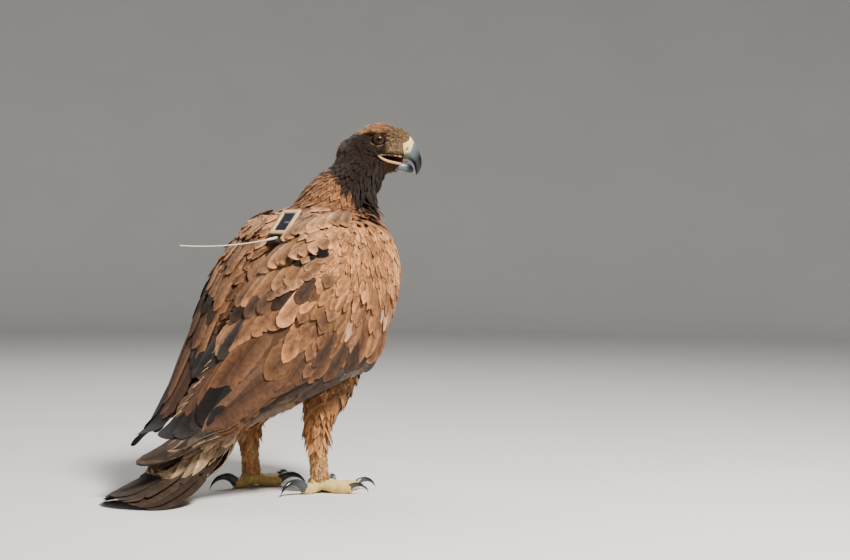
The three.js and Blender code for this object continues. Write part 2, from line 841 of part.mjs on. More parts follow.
// The ring of a lid, a closed tube round the eye's opening.
function lidSolid(side) {
  const geometry = new THREE.TorusGeometry(LID.radius, LID.tube, ...LID.sides);
  geometry.scale(LID.long, LID.high, 1);
  const turn = new THREE.Matrix4().makeBasis(at(1, 0, 0), at(0, 0, 1), at(0, 1, 0));
  const tilt = new THREE.Matrix4().makeRotationAxis(at(0, 0, 1), side * radians(LID.turn));
  const lean = new THREE.Matrix4().makeRotationAxis(at(1, 0, 0), -side * radians(LID.lean));
  geometry.applyMatrix4(turn).applyMatrix4(tilt).applyMatrix4(lean);
  const place = onHead(EYE_PLACE[0], side * (EYE_PLACE[1] + LID.out), EYE_PLACE[2]);
  geometry.applyMatrix4(headFrame.clone().setPosition(place));
  return solidOf(geometry);
}

// The bony ridge that shades the eye: ahead, aside, up and radius.
const BROW = [
  [-14, 30.5, 17, 3],
  [-4, 33.5, 18.5, 5],
  [8, 34.5, 18, 5.5],
  [20, 31, 14.5, 4.6],
  [30, 25.5, 8.5, 2.2],
];

function browSolid(side) {
  const path = BROW.map(([ahead, aside, up]) => onHead(ahead, side * aside, up));
  const radii = BROW.map((row) => row[3]);
  return tube(path, radii, SIDES_OF.brow);
}

// The soft yellow rim of the mouth, from the corner to the bill, above and below, as ahead and up.
// The radii go from the corner to the bill, and the widths are how far the rim stands aside at places
// ahead.
const GAPE = {
  upper: [[4.5, -19.6], [15, -17.8], [27, -17.6], [40, -18.9]],
  lower: [[4.5, -19.6], [12, -24.6], [23, -28.4], [36, -30]],
  radii: [1.6, 2, 2, 1.8],
  widths: [[6, 35.4], [20, 31.8], [30, 26.5], [40, 19.5]],
};

function gapeSolid(side, grow = 0) {
  const sideOf = (ahead) => lookUp(GAPE.widths, ahead)[0];
  const bars = [GAPE.upper, GAPE.lower].map((line) => {
    const path = line.map(([ahead, up]) => onHead(ahead, side * sideOf(ahead), up));
    return tube(path, GAPE.radii, SIDES_OF.gape, grow);
  });
  return union(bars);
}

const TONGUE = [
  [12, -23.4, 12, -24.4, 4],
  [26, -23.8, 26, -25.8, 7],
  [40, -24.4, 40, -26.8, 6.4],
  [50, -24.8, 50, -26.8, 4],
  [54, -25.3, 54, -26.4, 1.5],
];

function tongueSolid(grow = 0) {
  return headLoft(TONGUE, SIDES_OF.tongue, grow);
}

// Legs and feet

const TOE_UP = 9;
const TOE_AHEAD = 3; // of the leg's middle, where the toes meet
const TOES = [
  // name, degrees outward from straight ahead, length, radius, claw length
  { name: "middle", out: 6, length: 66, radius: 8.6, claw: 36 },
  { name: "inner", out: -38, length: 46, radius: 8.8, claw: 44 },
  { name: "outer", out: 52, length: 50, radius: 7.8, claw: 31 },
  { name: "hind", out: 172, length: 34, radius: 8.6, claw: 50 },
];
const FOOT_TURN = 6; // degrees that each foot is turned outward
// Rows of a thigh: ahead and outward of the leg's middle, up, half width and half depth
const THIGH = [
  [30, -14, 226, 30, 62],
  [24, -8, 190, 36, 58],
  [14, -3, 158, 34, 46],
  [6, 0, 132, 27, 34],
  [2, 0, 112, 21.5, 24],
  [1, 0, 98, 17, 18],
];
// Rows of a shank, in the same columns
const SHANK = [
  [-2, 0, 118, 19, 22],
  [-3, 0, 92, 16.5, 19],
  [-2, 0, 62, 15, 17],
  [1, 0, 36, 14.5, 16.5],
  [3, 0, 19, 15.5, 18],
];
const LEG_SIDES = { thigh: 13, shank: 14 };

function legMiddle(sideName) {
  return [LEG_FORWARD[sideName], SIDES[sideName] * LEG_SPREAD];
}

function legTube(sideName, rows, sides, grow) {
  const [forward, left] = legMiddle(sideName);
  const path = rows.map(([f, out, up]) => at(forward + f, left + SIDES[sideName] * out, up));
  const radii = rows.map((row) => [row[3], row[4]]);
  return tube(path, radii, sides, grow, LEFT);
}

function thighSolid(sideName, grow = 0) {
  return legTube(sideName, THIGH, LEG_SIDES.thigh, grow);
}

function shankSolid(sideName, grow = 0) {
  return legTube(sideName, SHANK, LEG_SIDES.shank, grow);
}

function toeWay(sideName, toe) {
  const turn = radians(toe.out + FOOT_TURN) * SIDES[sideName];
  return at(Math.cos(turn), Math.sin(turn), 0);
}

// A toe's places along its length, its radius there as a share, and how it comes down to lie on its
// pads
const TOE = {
  places: [0, 0.4, 0.68, 0.71, 1],
  shares: [1.1, 0.94, 0.94, 1.08, 0.7],
  sides: 8,
  rootUp: TOE_UP + 5,
  pressed: 0.7, // how far its pads are pressed under its round
  fallRate: 1.6,
};

// A toe: a tube with a stepped scute behind its claw.
function toeSolid(sideName, toe) {
  const [forward, left] = legMiddle(sideName);
  const start = at(forward + TOE_AHEAD, left, TOE_UP);
  const way = toeWay(sideName, toe);
  const path = TOE.places.map((t) => {
    const p = start.clone().addScaledVector(way, toe.length * t);
    p.z = mix(TOE.rootUp, toe.radius - TOE.pressed, smooth(t * TOE.fallRate));
    return p;
  });
  const radii = TOE.shares.map((share) => toe.radius * share);
  return tube(path, radii, TOE.sides);
}

// A claw's arc: the degrees that it rises at its root and bends in all, its length over its reach,
// its girth over its reach, how its radius falls, its bluntness, and how far its root lies inside the
// toe.
const CLAW = { rise: 48, bend: 122, stretch: 1.22, girth: 0.148, fall: 1.35, tip: 0.6, sunk: 3 };
const CLAW_STEPS = 5;
const CLAW_SIDES = 6;
const CLAW_CLEAR = 0.9; // the tip's middle stands at least this far over the floor

// A claw: a cone bent along an arc, from the toe's end up, over and down to the floor.
function clawSolid(sideName, toe, grow = 0) {
  const [forward, left] = legMiddle(sideName);
  const way = toeWay(sideName, toe);
  const root = at(forward + TOE_AHEAD, left, TOE_UP).addScaledVector(way, toe.length - CLAW.sunk);
  const step = (toe.claw * CLAW.stretch) / CLAW_STEPS;
  const path = [root.clone()];
  const radii = [toe.claw * CLAW.girth];
  for (let i = 1; i <= CLAW_STEPS; i++) {
    const t = i / CLAW_STEPS;
    const angle = radians(CLAW.rise - CLAW.bend * ((i - 0.5) / CLAW_STEPS));
    root.addScaledVector(way, Math.cos(angle) * step);
    root.z += Math.sin(angle) * step;
    path.push(root.clone());
    radii.push(Math.max(CLAW.tip, toe.claw * CLAW.girth * (1 - t ** CLAW.fall)));
  }
  const lowest = path.at(-1).z - CLAW_CLEAR;
  if (lowest < 0) path.forEach((p, i) => (p.z -= lowest * (i / CLAW_STEPS)));
  return tube(path, radii, CLAW_SIDES, grow);
}

// The tag

const tagFrame = new THREE.Matrix4()
  .makeTranslation(at(TAG_PLACE[0], 0, TAG_PLACE[1]))
  .multiply(new THREE.Matrix4().makeRotationX(-radians(TAG_SLOPE)));
const TAG_CASE = { wide: 40, long: 62, thick: 19, bevel: 3, bevelRows: 2 };
const TAG_RIM = { wide: 41, long: 47, bar: 6.5, thick: 3.4 };
const TAG_PANEL_THICK = 1.8;
const STRAP = { width: 10, thick: 1.4, steps: 7, roomSunk: 2, reach: 0.03 };
// Each harness strap runs over the back from one place to another: station, and degrees from the
// breast.
const STRAP_ENDS = {
  front: [[1.25, 163], [1.05, 122]],
  rear: [[2.45, 163], [3.1, 124]],
};
// The aerial falls by a line and bows back by a square of the way along. Its sleeve ends early on.
const ANTENNA = {
  length: 184,
  radius: 0.9,
  sleeve: 2.3,
  sleeveEnd: 0.08,
  sleeveRate: 12,
  first: -34,
  second: 22,
  behindRim: 5,
  sunk: 1,
  steps: 9,
  sides: 5,
};

// A plate in the tag's frame: its outline's width and length, its place along the tag and its height
// span.
function tagPlate(wide, long, middle, low, high, bevel = 0, hole = null) {
  const shape = rectangle(wide, long, middle, bevel);
  if (hole) shape.holes.push(rectangle(hole[0], hole[1], middle, 0));
  const geometry = new THREE.ExtrudeGeometry(shape, {
    depth: high - low - 2 * bevel,
    bevelEnabled: bevel > 0,
    bevelThickness: bevel,
    bevelSize: bevel,
    bevelSegments: TAG_CASE.bevelRows,
  });
  geometry.translate(0, 0, low + bevel);
  geometry.applyMatrix4(tagFrame);
  return solidOf(geometry);
}

function rectangle(wide, long, middle, inset) {
  const x = wide / 2 - inset;
  const y = long / 2 - inset;
  const shape = new THREE.Shape();
  return shape
    .moveTo(-x, middle - y)
    .lineTo(x, middle - y)
    .lineTo(x, middle + y)
    .lineTo(-x, middle + y)
    .closePath();
}

function tagCase(grow = 0) {
  const { wide, long, thick, bevel } = TAG_CASE;
  return tagPlate(wide + 2 * grow, long + 2 * grow, 0, -thick / 2 - grow, thick / 2 + grow, bevel);
}

// The rim round the solar panel lies on the case's upper end, and the panel lies inside the rim.
const RIM_MIDDLE = (TAG_RIM.long - TAG_CASE.long) / 2;
const RIM_LOW = TAG_CASE.thick / 2 + GAP;

function tagRim() {
  const hole = [TAG_RIM.wide - 2 * TAG_RIM.bar, TAG_RIM.long - 2 * TAG_RIM.bar];
  return tagPlate(TAG_RIM.wide, TAG_RIM.long, RIM_MIDDLE, RIM_LOW, RIM_LOW + TAG_RIM.thick, 0, hole);
}

function tagPanel() {
  const wide = TAG_RIM.wide - 2 * TAG_RIM.bar - 2 * GAP;
  const long = TAG_RIM.long - 2 * TAG_RIM.bar - 2 * GAP;
  return tagPlate(wide, long, RIM_MIDDLE, RIM_LOW, RIM_LOW + TAG_PANEL_THICK);
}

// The aerial: a thin rod that leaves the case behind the rim and bows a little under its weight.
function antennaSolid(grow = 0) {
  const along = RIM_MIDDLE + TAG_RIM.long / 2 + ANTENNA.behindRim;
  const start = new THREE.Vector3(0, along, TAG_CASE.thick / 2 - ANTENNA.sunk).applyMatrix4(tagFrame);
  const path = [];
  const radii = [];
  for (let i = 0; i <= ANTENNA.steps; i++) {
    const t = i / ANTENNA.steps;
    const fall = ANTENNA.first * t + ANTENNA.second * t * t;
    path.push(start.clone().add(at(-ANTENNA.length * t, 0, fall)));
    const thinned = smooth((t - ANTENNA.sleeveEnd) * ANTENNA.sleeveRate);
    radii.push(mix(ANTENNA.sleeve, ANTENNA.radius, thinned));
  }
  return tube(path, radii, ANTENNA.sides, grow);
}

// A flat ribbon on the torso's skin. Grown for its room, it reaches into the skin as well.
function strapSolid(side, ends, grow = 0) {
  const rings = [];
  for (let i = 0; i <= STRAP.steps; i++) {
    const t = i / STRAP.steps;
    const s = mix(ends[0][0], ends[1][0], t);
    const angle = radians(mix(ends[0][1], ends[1][1], t));
    const before = torsoForm.point(s - STRAP.reach, angle, 0, side);
    const across = before.sub(torsoForm.point(s + STRAP.reach, angle, 0, side)).normalize();
    const out = torsoForm.normal(s, angle, side);
    const p = torsoForm.point(s, angle, 0, side);
    const half = STRAP.width / 2 + grow;
    const low = grow ? -STRAP.roomSunk : GAP;
    const high = GAP + STRAP.thick + grow;
    const corner = (k, lift) =>
      p
        .clone()
        .addScaledVector(across, k * half)
        .addScaledVector(out, lift);
    rings.push([corner(-1, low), corner(1, low), corner(1, high), corner(-1, high)]);
  }
  return loft(pushEnds(rings, grow));
}

// Materials
function finish(color, roughness, metalness = 0) {
  return new THREE.MeshStandardMaterial({ color, roughness, metalness });
}

const brownPlumage = finish(0x7a5638, 0.85);
const darkPlumage = finish(0x3a2a20, 0.8);
const paleLeg = finish(0xa87c4c, 0.9);
const yellowSkin = finish(0xe0b83c, 0.6);
const darkHorn = finish(0x2c3036, 0.35);
const eyeFinish = finish(0x5a3314, 0.1);
const tongueFinish = finish(0xb8705c, 0.5);
const blackCase = finish(0x15161a, 0.5);
const panelFinish = finish(0x1a2028, 0.2);
const rimFinish = finish(0xd8b478, 0.5);
const strapFinish = finish(0x6b5a48, 0.8);
const wireFinish = finish(0xd8d4c4, 0.4, 0.3);

// Assembly

const bird = new THREE.Group();
const pieces = [];

function put(name, solid, material) {
  pieces.push(meshOf(name, solid, material));
}

function floorCut(solid) {
  return solid.trimByPlane([0, 0, 1], 0);
}

const torso = torsoSolid();
const torsoRoom = torsoSolid(GAP);

// The tag sits in the plumage of the upper back, which makes room for it.
const caseRoom = tagCase(GAP);
put("torso", torso.subtract(caseRoom), brownPlumage);

const headWhole = union([headLoft(SKULL, SIDES_OF.skull, 0, SKULL_SQUARENESS), neckSolid()]);
const neckCutNormal = onHead(...NECK_CUT.normal).sub(onHead(0, 0, 0)).normalize();
const neckCutPlace = onHead(...NECK_CUT.through).dot(neckCutNormal);

const cere = headLoft(CERE, SIDES_OF.cere);
const cereRoom = headLoft(CERE, SIDES_OF.cere, GAP);
const upperBill = headLoft(UPPER_BILL, SIDES_OF.bill);
const lowerBill = headLoft(LOWER_BILL, SIDES_OF.bill);
const lowerBillRoom = headLoft(LOWER_BILL, SIDES_OF.bill, GAP);
const mouth = mouthCut();

const neckPart = headWhole.trimByPlane(neckCutNormal.clone().negate().toArray(), GAP - neckCutPlace);
const headPart = headWhole.trimByPlane(neckCutNormal.toArray(), neckCutPlace);
put("neck", neckPart.subtract(torsoRoom), brownPlumage);

let head = headPart;
for (const side of Object.values(SIDES)) {
  head = head.subtract(socketCut(side));
  head = union([head, lidSolid(side), browSolid(side)]);
  head = head.subtract(ball(eyeCentre(side), EYE_RADIUS + GAP)).subtract(gapeSolid(side, GAP));
}
head = head.subtract(cereRoom).subtract(lowerBillRoom).subtract(mouth).subtract(tongueSolid(GAP));
put("head", head, brownPlumage);
for (const [name, side] of Object.entries(SIDES)) {
  put(`eye_${name}`, ball(eyeCentre(side), EYE_RADIUS), eyeFinish);
  put(`gape_${name}`, gapeSolid(side).subtract(cereRoom).subtract(lowerBillRoom), yellowSkin);
}
let cereLeft = cere.subtract(mouth);
for (const side of Object.values(SIDES)) cereLeft = cereLeft.subtract(nostrilCut(side));
put("cere", cereLeft, yellowSkin);
put("bill_upper", upperBill.subtract(cereRoom).subtract(mouth), darkHorn);
put("bill_lower", lowerBill.subtract(mouth), darkHorn);
put("tongue", tongueSolid(), tongueFinish);

for (const name of Object.keys(SIDES)) {
  const shankRoom = shankSolid(name, GAP);
  put(`thigh_${name}`, thighSolid(name).subtract(torsoRoom).subtract(shankRoom), paleLeg);
  put(`shank_${name}`, shankSolid(name), paleLeg);
  const claws = TOES.map((toe) => clawSolid(name, toe, GAP));
  const foot = floorCut(union(TOES.map((toe) => toeSolid(name, toe))))
    .subtract(shankRoom)
    .subtract(union(claws));
  put(`foot_${name}`, foot, yellowSkin);
  for (const toe of TOES) put(`claw_${toe.name}_${name}`, floorCut(clawSolid(name, toe)), darkHorn);
}

const tail = floorCut(tailSolid()).subtract(torsoRoom);
put("tail", tail, darkPlumage);

const WING_SEED = 11;

for (const [name, side] of Object.entries(SIDES)) {
  let wing = wingSolid(side, WING_SEED + side)
    .subtract(torsoRoom)
    .subtract(thighSolid(name, GAP))
    .subtract(caseRoom);
  for (const [end, places] of Object.entries(STRAP_ENDS)) {
    wing = wing.subtract(strapSolid(side, places, GAP));
    put(`tag_strap_${end}_${name}`, strapSolid(side, places).subtract(caseRoom), strapFinish);
  }
  put(`wing_${name}`, wing, brownPlumage);
}

put("tag_case", tagCase().subtract(antennaSolid(GAP)), blackCase);
put("tag_rim", tagRim(), rimFinish);
put("tag_panel", tagPanel(), panelFinish);
put("tag_antenna", antennaSolid(), wireFinish);

pieces.forEach((piece) => bird.add(piece));
const box = new THREE.Box3().setFromObject(bird);
bird.position.set(-(box.min.x + box.max.x) / 2, -(box.min.y + box.max.y) / 2, 0);

export default bird;
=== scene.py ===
"""A golden eagle, life size, standing with its head turned to its right and a solar tag on its back.

The bird faces -Y and its left side is +X. Sizes are millimetres in the bird's own axes, turned into metres of
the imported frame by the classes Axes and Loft.
"""

import logging
import math
from dataclasses import dataclass, field
from enum import Enum
from typing import Callable, Sequence

import bpy
import numpy as np
from mathutils import Matrix, Vector


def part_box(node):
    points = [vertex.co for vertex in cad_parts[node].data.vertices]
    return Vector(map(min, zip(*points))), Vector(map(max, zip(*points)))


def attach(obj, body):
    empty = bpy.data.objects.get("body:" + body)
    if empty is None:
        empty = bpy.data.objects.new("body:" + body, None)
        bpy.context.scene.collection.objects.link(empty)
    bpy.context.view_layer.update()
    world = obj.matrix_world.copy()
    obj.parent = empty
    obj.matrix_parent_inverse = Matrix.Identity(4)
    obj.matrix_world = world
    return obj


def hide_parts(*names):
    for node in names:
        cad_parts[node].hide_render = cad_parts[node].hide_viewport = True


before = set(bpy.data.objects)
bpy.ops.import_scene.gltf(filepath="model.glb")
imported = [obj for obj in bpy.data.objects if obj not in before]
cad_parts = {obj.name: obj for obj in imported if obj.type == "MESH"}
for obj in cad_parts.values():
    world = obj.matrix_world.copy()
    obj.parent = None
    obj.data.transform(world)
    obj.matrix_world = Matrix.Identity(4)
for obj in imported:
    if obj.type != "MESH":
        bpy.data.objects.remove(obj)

Array = np.ndarray
Heading = Callable[[Array, float], Array]

log = logging.getLogger("eagle")
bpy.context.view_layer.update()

MM = 0.001
SEED = 20
BODY = "root"
# How far a feather's place strays, as a share of the distance to the next.
JITTER = 0.28
# The size of each vane's patch on the bake map.
BAKE_PATCH = 0.003
# A full turn in the waves of the patterns.
WAVE = 6.2832

HEAD_CENTRE = (134, -22, 538)
HEAD_TURN = 42
HEAD_NOD = -3
EYE_RADIUS = 11.5
EYE_PLACE = (4, 23.5, 4)
LEG_SPREAD = 62
LEG_FORWARD = {"left": -48, "right": -14}
TAG_PLACE = (-28, 399)
TAG_SLOPE = 51
SIDES = {"left": 1, "right": -1}

# Stations of the body: back edge and breast edge as forward and up, and the half width.
TORSO = [
    (12, 450, 112, 456, 46),
    (-20, 420, 128, 424, 68),
    (-50, 386, 142, 384, 86),
    (-76, 346, 152, 334, 96),
    (-99, 300, 149, 278, 98),
    (-120, 254, 132, 226, 95),
    (-140, 216, 98, 184, 87),
    (-157, 187, 38, 154, 72),
    (-174, 162, -40, 128, 54),
    (-192, 142, -104, 100, 38),
]
# Stations of the form that the folded wings give the bird, in the same columns.
FOLDED = [
    (10, 462, 116, 458, 56),
    (-24, 440, 136, 428, 100),
    (-62, 402, 153, 388, 130),
    (-102, 354, 162, 334, 145),
    (-137, 302, 157, 277, 146),
    (-168, 250, 141, 222, 139),
    (-192, 206, 107, 172, 129),
    (-214, 170, 48, 126, 114),
    (-236, 140, -30, 94, 98),
    (-260, 114, -100, 70, 80),
    (-288, 102, -156, 57, 65),
    (-324, 91, -216, 46, 50),
    (-366, 81, -276, 37, 36),
    (-414, 72, -340, 29, 26),
]
# Where each wing lies on those stations: the station, and the angles of its front and back edges in degrees.
WING_EDGES = [
    (0.8, 78, 156),
    (2, 52, 165),
    (3, 40, 170),
    (4, 38, 173),
    (5, 40, 173),
    (6, 47, 173),
    (7, 62, 172),
    (7.9, 74, 170),
]
# The neck's middle line as forward, left and up, with its half width and half depth.
NECK = [
    (62, 0, 424, 62, 60),
    (70, -2, 443, 52, 55),
    (86, -6, 462, 46, 49),
    (103, -12, 480, 42, 44),
    (116, -17, 499, 38, 38),
    (124, -20, 514, 33, 33),
]
# The skull in the head's axes: upper edge and lower edge as ahead and up, and the half width.
SKULL = [
    (-56, -12, -50, -62, 30),
    (-44, 3, -40, -60, 35),
    (-28, 17, -27, -57, 37.5),
    (-10, 28.5, -11, -55, 38),
    (8, 33, 6, -51, 37),
    (22, 31, 19, -47.5, 34),
    (34, 27, 30, -44, 29),
    (44, 21.5, 38, -42, 22),
    (50, 16, 43, -40.5, 15),
]
# The tail's core: its top and its underside as forward and up, and its half width.
TAIL_CORE = [
    (-160, 144, -118, 96, 36),
    (-186, 116, -146, 72, 40),
    (-212, 92, -180, 50, 42),
    (-242, 70, -222, 36, 38),
    (-270, 52, -260, 28, 26),
]
THIGH = [
    # forward and outward of the leg's middle, up, half width and half depth
    (30, -14, 226, 30, 62),
    (24, -8, 190, 36, 58),
    (14, -3, 158, 34, 46),
    (6, 0, 132, 27, 34),
    (2, 0, 112, 21.5, 24),
    (1, 0, 98, 17, 18),
]
SHANK = [
    (-2, 0, 118, 19, 22),
    (-3, 0, 92, 16.5, 19),
    (-2, 0, 62, 15, 17),
    (1, 0, 36, 14.5, 16.5),
    (3, 0, 19, 15.5, 18),
]


def unit(vectors: Array) -> Array:
    """The vectors at length one.

    Args:
        vectors: Vectors on the last axis.

    Returns:
        The same directions, each divided by its length.
    """
    return vectors / np.maximum(np.linalg.norm(vectors, axis=-1, keepdims=True), 1e-12)


def ease(value: Array) -> Array:
    """A smooth step: three times the square less twice the cube of the value held from 0 to 1."""
    held = np.clip(value, 0.0, 1.0)
    return held * held * (3.0 - 2.0 * held)


def linear(red: float, green: float, blue: float) -> Array:
    """A colour given in display values from 0 to 255 as linear light."""
    shown = np.array([red, green, blue], dtype=float) / 255.0
    return np.where(shown <= 0.04045, shown / 12.92, ((shown + 0.055) / 1.055) ** 2.4)


def cubic(share: Array, here: Array, there: Array, leaving: Array, arriving: Array) -> Array:
    """The cubic between two values that has the given slopes at them, at a share of the way."""
    t = share
    return (
        here * (1 + 2 * t) * (1 - t) ** 2
        + leaving * t * (1 - t) ** 2
        + there * t * t * (3 - 2 * t)
        + arriving * t * t * (t - 1)
    )


def spline(rows: Array, place: Array) -> Array:
    """Values on a smooth curve through the rows of a table.

    Each stretch is the cubic whose slopes at its two rows are half the step between the rows on either side.

    Args:
        rows: The table, one row for each whole place along its first axis.
        place: Places along the table, of any shape.

    Returns:
        The values, with the shape of place and then that of a row.
    """
    last = len(rows) - 1
    held = np.clip(place, 0.0, last)
    i = np.minimum(held.astype(int), last - 1)
    t = (held - i)[(...,) + (None,) * (rows.ndim - 1)]
    before, after = rows[np.maximum(i - 1, 0)], rows[np.minimum(i + 2, last)]
    here, there = rows[i], rows[i + 1]
    first = np.where(i > 0, 2.0, 1.0)[(...,) + (None,) * (rows.ndim - 1)]
    second = np.where(i + 2 <= last, 2.0, 1.0)[(...,) + (None,) * (rows.ndim - 1)]
    return cubic(t, here, there, (there - before) / first, (after - here) / second)


@dataclass(frozen=True)
class Axes:
    """A place and three unit directions, which sizes in millimetres are laid out on."""

    origin: Array
    basis: Array

    def place(self, ahead: Array | float, aside: Array | float, up: Array | float) -> Array:
        """The point at distances ahead, to the left and up, in metres of the frame."""
        return self.origin + MM * self.way(ahead, aside, up)

    def way(self, ahead: Array | float, aside: Array | float, up: Array | float) -> Array:
        """The direction with these shares ahead, to the left and up."""
        parts = np.stack(np.broadcast_arrays(ahead, aside, up), axis=-1).astype(float)
        return parts @ self.basis


BODY_BASIS = np.array([[0.0, -1.0, 0.0], [1.0, 0.0, 0.0], [0.0, 0.0, 1.0]])


@dataclass(frozen=True)
class TagSizes:
    """The sizes of the tag, in millimetres."""

    wide: float = 40
    long: float = 62
    thick: float = 19
    rim_wide: float = 41
    rim_long: float = 47
    rim_bar: float = 6.5
    rim_thick: float = 3.4
    panel_thick: float = 1.8
    gap: float = 0.3

    @property
    def rim_middle(self) -> float:
        """The place of the rim's middle along the tag, which it meets at the upper end."""
        return (self.rim_long - self.long) / 2

    @property
    def rim_low(self) -> float:
        """The height of the rim's underside over the tag's middle."""
        return self.thick / 2 + self.gap


TAG = TagSizes()


def tag_basis() -> Array:
    """The tag's directions: along it towards the tail, to the left, and out of its face."""
    slope = math.radians(TAG_SLOPE)
    along = (0.0, math.cos(slope), -math.sin(slope))
    out = (0.0, math.sin(slope), math.cos(slope))
    return np.array([along, (1.0, 0.0, 0.0), out])


def bird_axes() -> Axes:
    """The bird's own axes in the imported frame, found from the middle of its tag's panel."""
    low, high = (np.array(corner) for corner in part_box("tag_panel"))
    local = np.array([TAG.rim_middle, 0.0, TAG.rim_low + TAG.panel_thick / 2]) @ tag_basis()
    offset = np.array([TAG_PLACE[0], 0.0, TAG_PLACE[1]]) @ BODY_BASIS
    return Axes((low + high) / 2 - MM * (local + offset), BODY_BASIS)


BIRD = bird_axes()
TAG_AXES = Axes(BIRD.place(TAG_PLACE[0], 0, TAG_PLACE[1]), tag_basis())


def head_axes() -> Axes:
    """The head's axes: the bird's, nodded about its left and then turned to its right."""
    nod = Matrix.Rotation(-math.radians(HEAD_NOD), 3, "X")
    turn = Matrix.Rotation(-math.radians(HEAD_TURN), 3, "Z") @ nod
    return Axes(BIRD.place(*HEAD_CENTRE), BODY_BASIS @ np.array(turn).T)


HEAD = head_axes()


class Loft:
    """A closed smooth form on stations, each with a middle, two directions and two half sizes."""

    def __init__(self, centre: Array, across: Array, upward: Array, wide: Array, high: Array,
                 squareness: float = 2.0):
        """Keeps the stations.

        Args:
            centre: The stations' middles.
            across: Unit directions to the left.
            upward: Unit directions to the back or top.
            wide: Half widths along across, in metres.
            high: Half heights along upward, in metres.
            squareness: The power of the section's rounded outline, 2 for an ellipse.
        """
        self.table = np.hstack([centre, across, upward, wide[:, None], high[:, None]])
        self.squareness = squareness
        self.last = len(centre) - 1

    @classmethod
    def between_edges(cls, rows: Sequence[Sequence[float]], axes: Axes, squareness: float) -> "Loft":
        """A form whose rows give its upper edge and lower edge as ahead and up, and its half width."""
        table = np.array(rows, dtype=float)
        top = axes.place(table[:, 0], 0, table[:, 1])
        low = axes.place(table[:, 2], 0, table[:, 3])
        across = np.tile(axes.way(0, 1, 0), (len(table), 1))
        high = np.linalg.norm(top - low, axis=1) / 2
        return cls((top + low) / 2, across, unit(top - low), MM * table[:, 4], high, squareness)

    @classmethod
    def along(cls, path: Array, across: Array, wide: Array, high: Array, squareness: float = 2.0) -> "Loft":
        """A form along a path, whose sections stand square to it."""
        ahead = unit(np.gradient(path, axis=0))
        level = unit(across - ahead * np.sum(across * ahead, axis=1, keepdims=True))
        return cls(path, level, np.cross(ahead, level), wide, high, squareness)

    def station(self, s: Array) -> tuple[Array, Array, Array, Array, Array]:
        """The middle, directions and half sizes at places along the form."""
        values = spline(self.table, np.asarray(s, dtype=float))
        across, upward = unit(values[..., 3:6]), unit(values[..., 6:9])
        return values[..., :3], across, upward, values[..., 9], values[..., 10]

    def point(self, s: Array, turn: Array, height: Array | float = 0.0) -> Array:
        """Points on the form.

        The distance from the middle is one over the root, of the form's power, of the sum of the powers of
        the turn's cosine over the half height and its sine over the half width, plus the height.

        Args:
            s: Places along the form.
            turn: Angles from the lower edge, positive to the left and a half turn at the upper edge.
            height: How far over the form, in metres.

        Returns:
            The points, with their coordinates on the last axis.
        """
        centre, across, upward, wide, high = self.station(s)
        c, q = np.cos(turn), np.sin(turn)
        n = self.squareness
        reach = (np.abs(c / high) ** n + np.abs(q / wide) ** n) ** (-1.0 / n) + height
        return centre - upward * (c * reach)[..., None] + across * (q * reach)[..., None]

    def grid(self, rows: int, columns: int) -> tuple[Array, Array]:
        """The places along the form and the angles round it of a full grid."""
        s = np.linspace(0.0, float(self.last), rows)
        turn = np.linspace(-math.pi, math.pi, columns, endpoint=False)
        return s[:, None] * np.ones((1, columns)), turn[None, :] * np.ones((rows, 1))

    def shell(self, rows: int, columns: int, inset: float = 0.0) -> "Surface":
        """The form's skin as a closed surface, moved in by an inset in metres."""
        s, turn = self.grid(rows, columns)
        return Surface.tube(self.point(s, turn, -inset))


def keep_colour(mesh: bpy.types.Mesh, name: str, values: Array) -> None:
    """Puts a colour for each vertex into a mesh under a name."""
    layer = mesh.color_attributes.new(name=name, type="FLOAT_COLOR", domain="POINT")
    opaque = np.hstack([values, np.ones((len(values), 1))])
    layer.data.foreach_set("color", opaque.astype(np.float32).ravel())


